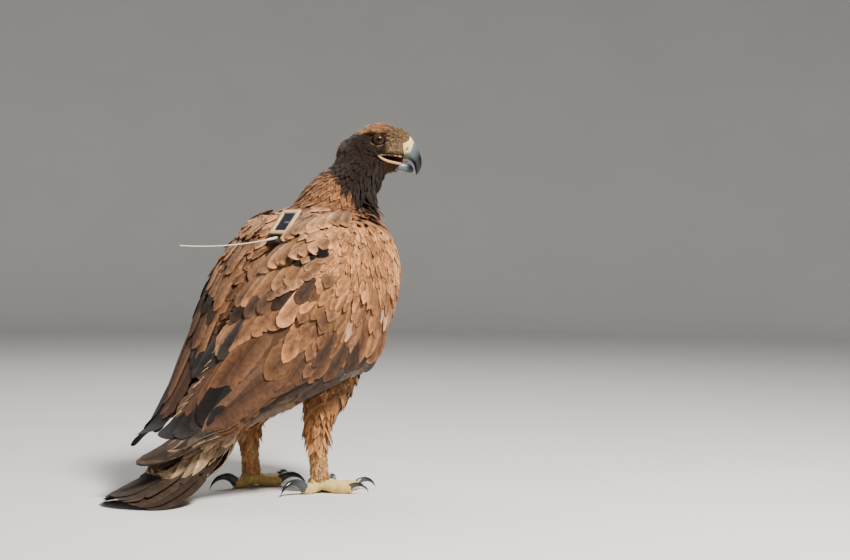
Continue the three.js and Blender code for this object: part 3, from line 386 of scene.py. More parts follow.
@dataclass
class Surface:
    """Points and faces of a mesh, with named values on its vertices and corners."""

    points: Array
    faces: Array
    colours: dict[str, Array] = field(default_factory=dict)
    maps: dict[str, Array] = field(default_factory=dict)
    rim: Array | None = None

    @classmethod
    def tube(cls, grid: Array, ends: bool = True) -> "Surface":
        """A surface round a grid of rings, with its end rings closed by a fan to their middles."""
        rows, columns = grid.shape[:2]
        i, j = np.meshgrid(np.arange(rows - 1), np.arange(columns), indexing="ij")
        k = (j + 1) % columns
        quads = np.stack([i * columns + j, i * columns + k, (i + 1) * columns + k, (i + 1) * columns + j], -1)
        quads = quads.reshape(-1, 4)
        points = grid.reshape(-1, 3)
        if not ends:
            return cls(points, quads)
        middles = np.stack([grid[0].mean(0), grid[-1].mean(0)])
        j = np.arange(columns)
        k = (j + 1) % columns
        start = np.stack([np.full(columns, len(points)), k, j, j], -1)
        last = (rows - 1) * columns
        finish = np.stack([np.full(columns, len(points) + 1), last + j, last + k, last + k], -1)
        return cls(np.vstack([points, middles]), np.vstack([quads, start, finish])).outward()

    def outward(self) -> "Surface":
        """The surface with its faces turned over if they point into its own form."""
        a, b, c = (self.points[self.faces[:, k]] for k in range(3))
        volume = np.sum(a * np.cross(b, c)) + np.sum(a * np.cross(c, self.points[self.faces[:, 3]]))
        if volume < 0:
            self.faces = self.faces[:, ::-1]
        return self

    @classmethod
    def join(cls, parts: Sequence["Surface"]) -> "Surface":
        """One surface of several, with the values that they all carry."""
        starts = np.cumsum([0] + [len(part.points) for part in parts[:-1]])
        faces = np.vstack([part.faces + start for part, start in zip(parts, starts)])
        colours = {name: np.vstack([part.colours[name] for part in parts]) for name in parts[0].colours}
        maps = {name: np.vstack([part.maps[name] for part in parts]) for name in parts[0].maps}
        rim = None if parts[0].rim is None else np.concatenate([part.rim for part in parts])
        return cls(np.vstack([part.points for part in parts]), faces, colours, maps, rim)

    def build(self, name: str) -> bpy.types.Object:
        """The surface as a smooth object at the origin, in the scene's collection.

        A face whose last two corners are the same becomes a triangle.

        Args:
            name: The object's name.

        Returns:
            The new object.
        """
        mesh = bpy.data.meshes.new(name)
        corners = np.where(self.faces[:, 2] == self.faces[:, 3], 3, 4)
        keep = np.ones(self.faces.shape, dtype=bool)
        keep[:, 3] = corners == 4
        flat = self.faces[keep]
        mesh.vertices.add(len(self.points))
        mesh.vertices.foreach_set("co", self.points.astype(np.float32).ravel())
        mesh.loops.add(len(flat))
        mesh.loops.foreach_set("vertex_index", flat.astype(np.int32))
        mesh.polygons.add(len(self.faces))
        mesh.polygons.foreach_set("loop_start", (np.cumsum(corners) - corners).astype(np.int32))
        mesh.update(calc_edges=True)
        for map_name, values in self.maps.items():
            layer = mesh.uv_layers.new(name=map_name)
            layer.data.foreach_set("uv", values[flat].astype(np.float32).ravel())
        for colour_name, values in self.colours.items():
            keep_colour(mesh, colour_name, values)
        mesh.polygons.foreach_set("use_smooth", np.full(len(self.faces), True))
        if self.rim is not None:
            ends = np.empty(len(mesh.edges) * 2, dtype=np.int32)
            mesh.edges.foreach_get("vertices", ends)
            mesh.edges.foreach_set("use_edge_sharp", self.rim[ends.reshape(-1, 2)].all(axis=1))
        made = bpy.data.objects.new(name, mesh)
        bpy.context.scene.collection.objects.link(made)
        return made


class Guide:
    """A surface that feathers are laid over, reached by moving points to their nearest place on it."""

    def __init__(self, target: bpy.types.Object):
        """Keeps the object that holds the surface."""
        self.target = target

    def settle(self, points: Array, lift: float = 0.0) -> Array:
        """The nearest places on the surface, or over it by a lift in metres along its normals."""
        mesh = bpy.data.meshes.new("settle")
        mesh.vertices.add(len(points))
        mesh.vertices.foreach_set("co", points.astype(np.float32).ravel())
        helper = bpy.data.objects.new("settle", mesh)
        bpy.context.scene.collection.objects.link(helper)
        wrap = helper.modifiers.new("wrap", "SHRINKWRAP")
        wrap.target = self.target
        wrap.wrap_method = "NEAREST_SURFACEPOINT"
        wrap.wrap_mode = "ABOVE_SURFACE" if lift else "ON_SURFACE"
        wrap.offset = lift
        done = helper.evaluated_get(bpy.context.evaluated_depsgraph_get()).data
        moved = np.empty(len(points) * 3, dtype=np.float32)
        done.vertices.foreach_get("co", moved)
        bpy.data.objects.remove(helper)
        bpy.data.meshes.remove(mesh)
        return moved.reshape(-1, 3).astype(float)

    def ground(self, points: Array) -> tuple[Array, Array]:
        """The nearest places and the outward normals there."""
        on = self.settle(points)
        over = self.settle(on, 0.004)
        return on, unit(over - on)

    def walk(self, roots: Array, heading: Heading, lengths: Array, steps: int) -> tuple[Array, Array]:
        """Paths over the surface.

        Each step goes along the heading, less its part along the normal, and settles on the surface again.

        Args:
            roots: Where the paths begin.
            heading: The wanted directions at points, for a share of the way.
            lengths: The paths' lengths in metres.
            steps: How many steps each path takes.

        Returns:
            The paths' points and normals, by path and step.
        """
        on, normal = self.ground(roots)
        path, normals = [on], [normal]
        for i in range(steps):
            wanted = heading(on, i / steps)
            along = unit(wanted - normal * np.sum(wanted * normal, axis=1, keepdims=True))
            on, normal = self.ground(on + along * (lengths / steps)[:, None])
            path.append(on)
            normals.append(normal)
        return np.stack(path, axis=1), np.stack(normals, axis=1)


class Outline(Enum):
    """How wide a feather is from its root to its tip, as pairs of place and share."""

    ROUND = ((0, 0.3), (0.2, 0.72), (0.42, 1.0), (0.62, 0.97), (0.76, 0.84), (0.87, 0.6), (0.95, 0.34),
             (1, 0.05))
    LANCE = ((0, 0.35), (0.3, 0.95), (0.55, 1.0), (0.8, 0.62), (0.93, 0.3), (1, 0.04))
    BROAD = ((0, 0.4), (0.2, 0.9), (0.5, 1.0), (0.78, 0.95), (0.88, 0.78), (0.95, 0.5), (0.985, 0.25),
             (1, 0.06))
    SOFT = ((0, 0.4), (0.25, 0.88), (0.5, 1.0), (0.72, 0.86), (0.88, 0.56), (0.96, 0.3), (1, 0.06))
    FLIGHT = ((0, 0.25), (0.15, 0.8), (0.4, 1.0), (0.75, 0.9), (0.9, 0.66), (0.97, 0.38), (1, 0.08))
    WISP = ((0, 0.5), (0.3, 1.0), (0.7, 0.6), (1, 0.1))

    def share(self, u: Array) -> Array:
        """The share of the full width at places from root to tip."""
        table = np.array(self.value)
        return np.interp(u, table[:, 0], table[:, 1])


@dataclass
class Feather:
    """One kind of feather: its form in millimetres and degrees, and how finely it is made."""

    length: float
    width: float
    outline: Outline = Outline.ROUND
    sink: float = 1.5
    lift: float = 2.5
    crown: float = 0.25
    thick: float = 0.5
    roll: float = 0.0
    curl: float = 0.0
    rows: int = 6
    columns: int = 3
    skew: float = 0.0
    notches: int = 0
    vary: float = 0.15


@dataclass
class Plan:
    """Where a tract's feathers grow: their roots, their places on the unwrap, sizes and colours."""

    roots: Array
    unwrap: Array
    scale: Array
    pigment: Array


def make_vanes(
    kind: Feather, path: Array, normals: Array, plan: Plan, rng: np.random.Generator
) -> Surface:
    """Thin closed vanes along paths.

    The vane's middle runs along the path, raised from the sink at its root to the lift at its tip. A point at
    a share across stands aside by that share of the outline's half width, falls by the crown times the
    share's square, and turns about the path by the roll. The underside lies lower by the thickness times one
    less the share's square, and shares the outer edge.

    Args:
        kind: The kind of feather.
        path: The paths' points, by feather and step.
        normals: The normals there.
        plan: The feathers' places, sizes and colours.
        rng: The seeded draw for the small variation.

    Returns:
        One surface of all the vanes.
    """
    count, steps = path.shape[:2]
    rows, columns = kind.rows, kind.columns
    u = np.linspace(0.0, 1.0, rows)
    share = kind.outline.share(u)[None, :] * np.ones((count, 1))
    c = np.linspace(-1.0, 1.0, columns)
    width = MM * kind.width * plan.scale * (1 + kind.vary * 0.6 * rng.uniform(-1, 1, count))
    half = width[:, None] * share / 2
    length = MM * kind.length * plan.scale
    nicks = np.ones((count, rows, columns))
    for _ in range(kind.notches):
        at_u = rng.uniform(0.25, 0.97, (count, 1))
        wide = rng.uniform(0.012, 0.035, (count, 1))
        deep = rng.uniform(0.1, 0.55, (count, 1)) * np.clip(1 - np.abs(u[None, :] - at_u) / wide, 0, 1)
        side = rng.integers(0, 2, (count, 1)) * 2 - 1
        nicks -= deep[:, :, None] * (c[None, None, :] * side[:, :, None] > 0.3)
    half3 = half[:, :, None] * np.clip(nicks, 0.3, 1)
    back = kind.skew * half3 * np.abs(c)[None, None, :] / length[:, None, None]
    place = np.clip((u[None, :, None] + back) / (1 + 0.02 * (kind.skew > 0)), 0, 1) * (steps - 1)
    table = np.moveaxis(np.concatenate([path, normals], axis=2), 1, 0)
    values = sample_paths(table, place)
    middle, out = values[..., :3], unit(values[..., 3:])
    ahead = unit(sample_paths(table, np.clip(place + 0.05, 0, steps - 1))[..., :3]
                 - sample_paths(table, np.clip(place - 0.05, 0, steps - 1))[..., :3])
    across = unit(np.cross(out, ahead))
    out = np.cross(ahead, across)
    roll = np.radians(kind.roll + 5 * rng.uniform(-1, 1, count))[:, None, None, None]
    leaned = across * np.cos(roll) + out * np.sin(roll)
    raised = out * np.cos(roll) - across * np.sin(roll)
    share_u = u[None, :, None]
    rise = MM * (-kind.sink + (kind.lift + kind.sink) * ease(share_u * 1.25))
    rise = rise + MM * kind.curl * share_u**3 * plan.scale[:, None, None]
    rise = rise * (1 + 0.35 * rng.uniform(-1, 1, count)[:, None, None] * (share_u > 0.2))
    fall = kind.crown * half3 * (c**2)[None, None, :]
    top = middle + leaned * (half3 * c[None, None, :])[..., None] + raised * (rise - fall)[..., None]
    deep = MM * kind.thick * (1 - (c**2)[None, None, :]) * (1 - 0.6 * share_u) * np.ones((count, 1, 1))
    low = (top - raised * deep[..., None])[:, 1:-1, 1:-1]
    points = np.concatenate([top.reshape(count, -1, 3), low.reshape(count, -1, 3)], axis=1)
    faces, rim = vane_pattern(rows, columns)
    each = points.shape[1]
    u_all = np.concatenate([np.repeat(u, columns), np.repeat(u[1:-1], columns - 2)])
    c_all = np.concatenate([np.tile(c, rows), np.tile(c[1:-1], rows - 2)])
    vane_map = np.stack([0.5 + 0.5 * c_all, u_all], axis=1)
    spot = plan.unwrap[:, None, :] + BAKE_PATCH * (vane_map - 0.5)[None, :, :]
    tone = np.repeat(rng.uniform(0, 1, (count, 1, 3)), each, axis=1)
    colour = np.repeat(plan.pigment[:, None, :], each, axis=1)
    return Surface(
        points.reshape(-1, 3),
        (faces[None, :, :] + each * np.arange(count)[:, None, None]).reshape(-1, 4),
        {"pigment": colour.reshape(-1, 3), "tone": tone.reshape(-1, 3)},
        {"Vane": np.tile(vane_map, (count, 1)), "OFBake": np.clip(spot, 0.001, 0.999).reshape(-1, 2)},
        np.tile(rim, count),
    )


def sample_paths(table: Array, place: Array) -> Array:
    """Values on the smooth curves through each feather's own steps.

    Args:
        table: Values by step, feather and column.
        place: Places along the steps, by feather and then any shape.

    Returns:
        The values, with the shape of place and then the columns.
    """
    last = len(table) - 1
    i = np.minimum(place.astype(int), last - 1)
    t = (place - i)[..., None]
    who = np.arange(table.shape[1])[:, None, None]
    before, here = table[np.maximum(i - 1, 0), who], table[i, who]
    there, after = table[i + 1, who], table[np.minimum(i + 2, last), who]
    leaving = (there - before) / np.where(i > 0, 2.0, 1.0)[..., None]
    arriving = (after - here) / np.where(i + 2 <= last, 2.0, 1.0)[..., None]
    return cubic(t, here, there, leaving, arriving)


def vane_pattern(rows: int, columns: int) -> tuple[Array, Array]:
    """The faces of one vane and the vertices on its outer edge.

    The upper side is a full grid. The lower side has its own inner vertices and shares the outer ones.
    """
    top = np.arange(rows * columns).reshape(rows, columns)
    low = top.copy()
    low[1:-1, 1:-1] = rows * columns + np.arange((rows - 2) * (columns - 2)).reshape(rows - 2, columns - 2)
    upper = np.stack([top[:-1, :-1], top[1:, :-1], top[1:, 1:], top[:-1, 1:]], -1).reshape(-1, 4)
    lower = np.stack([low[:-1, :-1], low[:-1, 1:], low[1:, 1:], low[1:, :-1]], -1).reshape(-1, 4)
    rim = np.zeros(rows * columns + (rows - 2) * (columns - 2), dtype=bool)
    rim[: rows * columns] = (top == low).ravel()
    return np.vstack([upper, lower]), rim


class Value:
    """A shader socket that Python's operators turn into Math nodes."""

    def __init__(self, graph: "Graph", socket: bpy.types.NodeSocket):
        """Keeps the graph and the socket."""
        self.graph = graph
        self.socket = socket

    def _math(self, operation: str, *terms: "Value | float") -> "Value":
        """One Math node over the terms, in their order."""
        return self.graph.node("ShaderNodeMath", {"operation": operation}, dict(enumerate(terms)))

    def __add__(self, other: "Value | float") -> "Value":
        """The sum."""
        return self._math("ADD", self, other)

    __radd__ = __add__

    def __mul__(self, other: "Value | float") -> "Value":
        """The product."""
        return self._math("MULTIPLY", self, other)

    __rmul__ = __mul__

    def __sub__(self, other: "Value | float") -> "Value":
        """The difference."""
        return self._math("SUBTRACT", self, other)

    def __rsub__(self, other: float) -> "Value":
        """The difference from a number."""
        return self._math("SUBTRACT", other, self)

    def magnitude(self) -> "Value":
        """The value without its sign."""
        return self._math("ABSOLUTE", self)

    def largest(self, other: "Value | float") -> "Value":
        """The larger of two values."""
        return self._math("MAXIMUM", self, other)

    def sine(self) -> "Value":
        """The sine."""
        return self._math("SINE", self)

    def rises(self, low: float, high: float) -> "Value":
        """A smooth step from 0 at low to 1 at high."""
        settings = {"interpolation_type": "SMOOTHSTEP"}
        return self.graph.node("ShaderNodeMapRange", settings, {0: self, 1: low, 2: high, 3: 0.0, 4: 1.0})


class Graph:
    """The node tree of one material."""

    def __init__(self, name: str):
        """Makes an empty material with the name."""
        self.material = bpy.data.materials.new(name)
        self.material.use_nodes = True
        self.tree = self.material.node_tree
        self.tree.nodes.clear()

    def node(
        self, kind: str, settings: dict | None = None, inputs: dict | None = None, output: int | str = 0
    ) -> Value:
        """Adds a node.

        Args:
            kind: The node's type.
            settings: Its settings, such as its operation.
            inputs: Numbers, colours or Values for its sockets, by name or place.
            output: The socket wanted.

        Returns:
            The output as a Value, or the first input of a node that has no output.
        """
        made = self.tree.nodes.new(kind)
        for name, value in (settings or {}).items():
            setattr(made, name, value)
        for name, value in (inputs or {}).items():
            if isinstance(value, Value):
                self.tree.links.new(value.socket, made.inputs[name])
            else:
                made.inputs[name].default_value = value
        return Value(self, made.outputs[output] if len(made.outputs) else made.inputs[0])

    def blend(self, factor: Value | float, first: Value | Sequence[float],
              second: Value | Sequence[float]) -> Value:
        """The first colour turning into the second as the factor goes from 0 to 1."""
        ends = [c if isinstance(c, Value) else (*c, 1.0) for c in (first, second)]
        return self.node("ShaderNodeMix", {"data_type": "RGBA"}, {0: factor, 6: ends[0], 7: ends[1]}, 2)

    def scale(self, colour: Value, factor: Value | float) -> Value:
        """A colour made lighter or darker by a factor."""
        return self.node("ShaderNodeVectorMath", {"operation": "SCALE"}, {0: colour, 3: factor})

    def tint(self, colour: Value, other: Value | Sequence[float]) -> Value:
        """Two colours multiplied."""
        return self.node("ShaderNodeVectorMath", {"operation": "MULTIPLY"}, {0: colour, 1: other})

    def attribute(self, name: str) -> Value:
        """A colour kept on the vertices."""
        return self.node("ShaderNodeAttribute", {"attribute_name": name}, output="Color")

    def parts(self, vector: Value) -> tuple[Value, Value, Value]:
        """A vector's three parts."""
        split = self.node("ShaderNodeSeparateXYZ", inputs={0: vector})
        outputs = split.socket.node.outputs
        return Value(self, outputs[0]), Value(self, outputs[1]), Value(self, outputs[2])

    def object_place(self) -> Value:
        """The Object coordinates."""
        return self.node("ShaderNodeTexCoord", output="Object")

    def noise(self, place: Value, scale: float, detail: float = 3.0,
              stretch: Sequence[float] | None = None) -> Value:
        """Soft noise from 0 to 1 at a place, stretched along its axes if wanted."""
        if stretch is not None:
            place = self.tint(place, tuple(stretch))
        return self.node("ShaderNodeTexNoise", inputs={"Vector": place, "Scale": scale, "Detail": detail})

    def bump(self, height: Value, distance: float) -> Value:
        """A normal from a height, given the real size of its relief in metres."""
        return self.node("ShaderNodeBump", inputs={"Height": height, "Distance": distance, "Strength": 1.0})

    def finish(self, **sockets: "Value | float | Sequence[float]") -> bpy.types.Material:
        """Closes the material with its surface shader.

        Args:
            sockets: Values for the shader's sockets, named with _ for each space.

        Returns:
            The material.
        """
        names = {key.replace("_", " "): value for key, value in sockets.items()}
        shader = self.node("ShaderNodeBsdfPrincipled", inputs=names)
        self.node("ShaderNodeOutputMaterial", inputs={"Surface": shader})
        return self.material


@dataclass(frozen=True)
class PlumageFinish:
    """How feathers of one kind look over their vane, in shares of their own pigment."""

    name: str
    edge: tuple[float, float, float] = (1.55, 1.5, 1.42)
    centre: tuple[float, float, float] = (0.55, 0.5, 0.48)
    edge_from: float = 0.6
    edge_to: float = 0.98
    centre_share: float = 0.8
    barbs: float = 60.0
    slant: float = 6.0
    relief: float = 0.00025
    bars: float = 0.0
    shaft: float = 0.5
    spread: float = 0.75
    # The share of feathers whose tip gets a painted highlight.
    painted_glints: float = 0.0001
    mottle: float = 0.4
    roughness: float = 0.6
    sheen: float = 0.04

    def material(self) -> bpy.types.Material:
        """Paints the pigment darker along the middle, paler at the rim, with a shaft, slanting barbs, painted
        glints on a few tips and painted shade at the root.
        """
        g = Graph(self.name)
        across, along, _ = g.parts(g.node("ShaderNodeUVMap", {"uv_map": "Vane"}))
        aside = ((across - 0.5) * 2.0).magnitude()
        pigment = g.attribute("pigment")
        tone_a, tone_b, tone_c = g.parts(g.attribute("tone"))
        place = g.object_place()
        wander = g.noise(place, 260.0, 2.0)
        reach = (aside * 0.92).largest((along - 0.5) * 2.0) + (wander - 0.5) * 0.22 + (tone_b - 0.5) * 0.18
        rim = reach.rises(self.edge_from, self.edge_to)
        heart = (1.0 - (aside + (wander - 0.5) * 0.3).rises(0.05, 0.75)) * along.rises(0.1, 0.55)
        colour = g.scale(pigment, tone_a * self.spread + (1.02 - self.spread * 0.5))
        mottle = g.noise(place, 150.0, 4.0).rises(0.34, 0.66)
        colour = g.scale(colour, mottle * self.mottle + (1.0 - self.mottle * 0.5))
        dark = g.tint(colour, self.centre)
        pale = g.tint(colour, self.edge)
        colour = g.blend(heart * self.centre_share * (tone_c * 0.5 + 0.6), colour, dark)
        colour = g.blend(rim * (tone_c * 0.5 + 0.5), colour, pale)
        # Painted highlight: a pale cream tip on the few feathers picked by their third tone, standing in for
        # glints of light.
        fleck_and_glint = tone_c.rises(1.0 - self.painted_glints, 1.0 - self.painted_glints * 0.6) * along.rises(0.35, 0.9)
        colour = g.blend(fleck_and_glint * (0.62 - aside * 0.62), colour, linear(236, 208, 170))
        # Painted shade: each vane darkens towards its root, where the feathers over it would shade it.
        colour = g.scale(colour, along.rises(-0.1, 0.5) * 0.5 + 0.5)
        stroke = ((along * self.barbs - aside * self.slant + wander * 2.5) * WAVE).sine()
        colour = g.scale(colour, stroke * 0.07 + 1.0)
        if self.bars:
            band = ((along * self.bars + (wander - 0.5) * 0.5 + aside * 0.25) * WAVE).sine().rises(0.15, 0.8)
            colour = g.blend(band * 0.35, colour, g.scale(colour, 0.55))
        shaft = 1.0 - aside.rises(0.0, 0.09)
        colour = g.blend(shaft * self.shaft, colour, g.scale(colour, 0.42))
        height = stroke * 0.35 + shaft * 1.5 + g.noise(place, 900.0, 2.0)
        return g.finish(
            Base_Color=colour,
            Roughness=self.roughness - rim * 0.05,
            Normal=g.bump(height, self.relief),
            Sheen_Weight=self.sheen,
            Sheen_Roughness=0.5,
            Specular_IOR_Level=0.14,
        )


@dataclass(frozen=True)
class SkinFinish:
    """The down and skin that show between feathers, in the same pigments as the coat."""

    name: str = "downy_skin"

    def material(self) -> bpy.types.Material:
        """Paints the vertices' pigment with fine mottling."""
        g = Graph(self.name)
        place = g.object_place()
        mottle = g.noise(place, 420.0, 4.0)
        fibre = g.noise(place, 1600.0, 2.0, (1.0, 1.0, 0.25))
        colour = g.scale(g.attribute("pigment"), mottle * 0.7 + 0.55)
        return g.finish(
            Base_Color=colour, Roughness=0.85, Normal=g.bump(fibre + mottle, 0.0006), Specular_IOR_Level=0.2
        )


@dataclass(frozen=True)
class HornFinish:
    """Horn of a bill or claw, with a colour along it and fine growth lines."""

    name: str
    base: tuple[float, float, float]
    tip: tuple[float, float, float]
    roughness: float = 0.3
    streak: float = 0.25
    dark_from: float = 0.62

    def material(self) -> bpy.types.Material:
        """Blends the two colours along the piece's own map, with streaks that run along it."""
        g = Graph(self.name)
        _, along, _ = g.parts(g.node("ShaderNodeUVMap", {"uv_map": "Grain"}))
        place = g.object_place()
        cloud = g.noise(place, 120.0, 4.0)
        grain = g.noise(g.node("ShaderNodeUVMap", {"uv_map": "Grain"}), 40.0, 3.0, (1.0, 0.12, 1.0))
        tipward = (along + (cloud - 0.5) * 0.25).rises(0.12, self.dark_from)
        colour = g.blend(tipward, linear(*self.base), linear(*self.tip))
        colour = g.scale(colour, (grain - 0.5) * self.streak * 2 + 1.0)
        return g.finish(
            Base_Color=colour,
            Roughness=cloud * 0.2 + (self.roughness - 0.1),
            Specular_IOR_Level=0.4,
            Coat_Weight=0.15,
            Coat_Roughness=0.15,
            Normal=g.bump(grain + cloud * 0.5, 0.0002),
        )


@dataclass(frozen=True)
class HideFinish:
    """Bare skin of a cere, gape, lid or toe, with scales or folds."""

    name: str
    base: tuple[float, float, float]
    shade: tuple[float, float, float]
    scale: float = 500.0
    relief: float = 0.0003
    roughness: float = 0.5

    def material(self) -> bpy.types.Material:
        """Breaks the colour into cells with darker seams, with a slight cloud over them."""
        g = Graph(self.name)
        place = g.object_place()
        cells = g.node(
            "ShaderNodeTexVoronoi",
            {"feature": "DISTANCE_TO_EDGE"},
            {"Vector": place, "Scale": self.scale},
            "Distance",
        )
        cloud = g.noise(place, 90.0, 4.0)
        seam = 1.0 - cells.rises(0.0, 0.12)
        base, shade = linear(*self.base), linear(*self.shade)
        colour = g.blend(cloud.rises(0.45, 0.75) * 0.5, base, shade)
        colour = g.blend(seam * 0.45, colour, shade)
        colour = g.tint(colour, g.attribute("pigment"))
        return g.finish(
            Base_Color=colour,
            Roughness=cloud * 0.2 + (self.roughness - 0.1),
            Normal=g.bump((1.0 - seam) + cloud * 0.6, self.relief),
            Subsurface_Weight=0.08,
            Subsurface_Radius=(0.004, 0.002, 0.001),
            Subsurface_Scale=0.3,
        )


@dataclass(frozen=True)
class EyeFinish:
    """An eagle's eye: a black pupil, a brown iris with spokes, and a dark rim."""

    name: str = "eye"
    pupil: float = 21.0
    iris: float = 50.0
    brown: tuple[float, float, float] = (70, 40, 20)
    deep: tuple[float, float, float] = (28, 16, 9)

    def material(self) -> bpy.types.Material:
        """Colours rings by the angle from the eye's axis, kept in the piece's own map."""
        g = Graph(self.name)
        around, angle, _ = g.parts(g.node("ShaderNodeUVMap", {"uv_map": "Ring"}))
        degrees = angle * 180.0
        spoke = (around * WAVE * 37.0).sine() * 0.5 + 0.5
        # The iris's own darker flecks.
        fleck_and_glint = g.noise(g.object_place(), 900.0, 3.0)
        brown = g.blend(spoke * 0.35 + fleck_and_glint * 0.4, linear(*self.brown), linear(*self.deep))
        out = degrees.rises(self.pupil, self.pupil + 2.5)
        limbus = degrees.rises(self.iris - 9.0, self.iris)
        colour = g.blend(out, (0.002, 0.002, 0.002), brown)
        colour = g.blend(limbus, colour, (0.006, 0.004, 0.003))
        return g.finish(
            Base_Color=colour, Roughness=0.35, Specular_IOR_Level=0.1, Coat_Weight=0.35, Coat_Roughness=0.02
        )


@dataclass(frozen=True)
class PlasticFinish:
    """Moulded plastic or coated metal, with a fine grain and dust."""

    name: str
    colour: tuple[float, float, float]
    dust: tuple[float, float, float] = (150, 130, 105)
    dust_share: float = 0.25
    grain: float = 900.0
    relief: float = 0.0001
    roughness: float = 0.45
    metallic: float = 0.0

    def material(self) -> bpy.types.Material:
        """Lays patches of dust over the colour, with grain in the relief."""
        g = Graph(self.name)
        place = g.object_place()
        patch = g.noise(place, 150.0, 5.0)
        fine = g.noise(place, self.grain, 2.0)
        colour = g.blend(
            patch.rises(0.45, 0.8) * self.dust_share, linear(*self.colour), linear(*self.dust)
        )
        return g.finish(
            Base_Color=colour,
            Roughness=patch * 0.25 + (self.roughness - 0.1),
            Metallic=self.metallic,
            Normal=g.bump(fine, self.relief),
        )


@dataclass(frozen=True)
class CellFinish:
    """A solar panel under clear resin: dark cells with thin bright lines."""

    name: str = "tag_panel"
    cell: tuple[float, float, float] = (16, 20, 32)
    line: tuple[float, float, float] = (120, 125, 130)
    fingers: float = 26.0

    def material(self) -> bpy.types.Material:
        """Draws thin lines across the panel's own map and one bar along it."""
        g = Graph(self.name)
        across, along, _ = g.parts(g.node("ShaderNodeUVMap", {"uv_map": "Grain"}))
        finger = ((along * self.fingers * WAVE).sine()).rises(0.93, 1.0)
        bar = 1.0 - (across - 0.5).magnitude().rises(0.012, 0.03)
        cloud = g.noise(g.object_place(), 200.0, 3.0)
        cell = g.blend(cloud, linear(*self.cell), linear(30, 34, 50))
        colour = g.blend(finger.largest(bar) * 0.5, cell, linear(*self.line))
        return g.finish(Base_Color=colour, Roughness=0.22, Coat_Weight=0.6, Coat_Roughness=0.08)


@dataclass(frozen=True)
class WovenFinish:
    """A flat woven ribbon."""

    name: str = "tag_strap"
    colour: tuple[float, float, float] = (88, 76, 62)
    threads: float = 14.0

    def material(self) -> bpy.types.Material:
        """Crosses two sets of threads over the ribbon's own map."""
        g = Graph(self.name)
        across, along, _ = g.parts(g.node("ShaderNodeUVMap", {"uv_map": "Grain"}))
        warp = (across * self.threads * WAVE).sine() * 0.5 + 0.5
        weft = (along * self.threads * 8.0 * WAVE).sine() * 0.5 + 0.5
        weave = warp * weft
        cloud = g.noise(g.object_place(), 300.0, 3.0)
        colour = g.scale(g.blend(cloud * 0.6, linear(*self.colour), linear(40, 34, 28)), weave + 0.5)
        return g.finish(Base_Color=colour, Roughness=0.85, Normal=g.bump(weave, 0.0003))


def dress(made: bpy.types.Object, material: bpy.types.Material, slot: str, nodes: Sequence[str] = ()) -> None:
    """Gives a piece its material and its body, and hides the nodes that it stands for.

    Args:
        made: The piece.
        material: Its material.
        slot: Not used.
        nodes: The nodes that it replaces.
    """
    made.data.materials.clear()
    made.data.materials.append(material)
    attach(made, BODY)
    if nodes:
        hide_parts(*nodes)
    log.info("%s: %d faces", made.name, len(made.data.polygons))


def apply_modifiers(made: bpy.types.Object) -> None:
    """Replaces an object's mesh by the one that its modifiers give."""
    done = bpy.data.meshes.new_from_object(made.evaluated_get(bpy.context.evaluated_depsgraph_get()))
    made.modifiers.clear()
    old = made.data
    made.data = done
    bpy.data.meshes.remove(old)


def weld(made: bpy.types.Object) -> None:
    """Merges the points of a mesh that lie on each other."""
    clean = made.modifiers.new("clean", "WELD")
    clean.merge_threshold = 1e-6
    apply_modifiers(made)


def vertices_of(made: bpy.types.Object) -> Array:
    """The places of a mesh's vertices."""
    places = np.empty(len(made.data.vertices) * 3, dtype=np.float32)
    made.data.vertices.foreach_get("co", places)
    return places.reshape(-1, 3).astype(float)


TORSO_FORM = Loft.between_edges(TORSO, BIRD, 2.25)
FOLDED_FORM = Loft.between_edges(FOLDED, BIRD, 2.9)
TAIL_FORM = Loft.between_edges(TAIL_CORE, BIRD, 2.3)
SKULL_FORM = Loft.between_edges(SKULL, HEAD, 2.15)


def neck_form() -> Loft:
    """The neck's form, whose sections turn with the head on their way up."""
    rows = np.array(NECK, dtype=float)
    path = BIRD.place(rows[:, 0], rows[:, 1], rows[:, 2])
    turn = -math.radians(HEAD_TURN) * ease(np.linspace(0, 1, len(rows)))
    across = np.stack([np.cos(turn), np.sin(turn), np.zeros(len(rows))], axis=1)
    return Loft.along(path, across, MM * rows[:, 3], MM * rows[:, 4])


NECK_FORM = neck_form()


def leg_form(name: str, rows: Sequence[Sequence[float]]) -> Loft:
    """The form of a thigh or shank on one side."""
    table = np.array(rows, dtype=float)
    side = SIDES[name]
    forward = LEG_FORWARD[name] + table[:, 0]
    path = BIRD.place(forward, side * LEG_SPREAD + side * table[:, 1], table[:, 2])
    across = np.tile([1.0, 0.0, 0.0], (len(table), 1))
    return Loft.along(path, across, MM * table[:, 3], MM * table[:, 4])


def head_local(points: Array) -> tuple[Array, Array, Array]:
    """Places in the head's axes in millimetres: ahead, aside and up."""
    ahead, aside, up = ((points - HEAD.origin) @ HEAD.basis.T / MM).T
    return ahead, aside, up


def bird_local(points: Array) -> tuple[Array, Array, Array]:
    """Places in the bird's axes in millimetres: forward, left and up."""
    forward, left, up = ((points - BIRD.origin) @ BIRD.basis.T / MM).T
    return forward, left, up


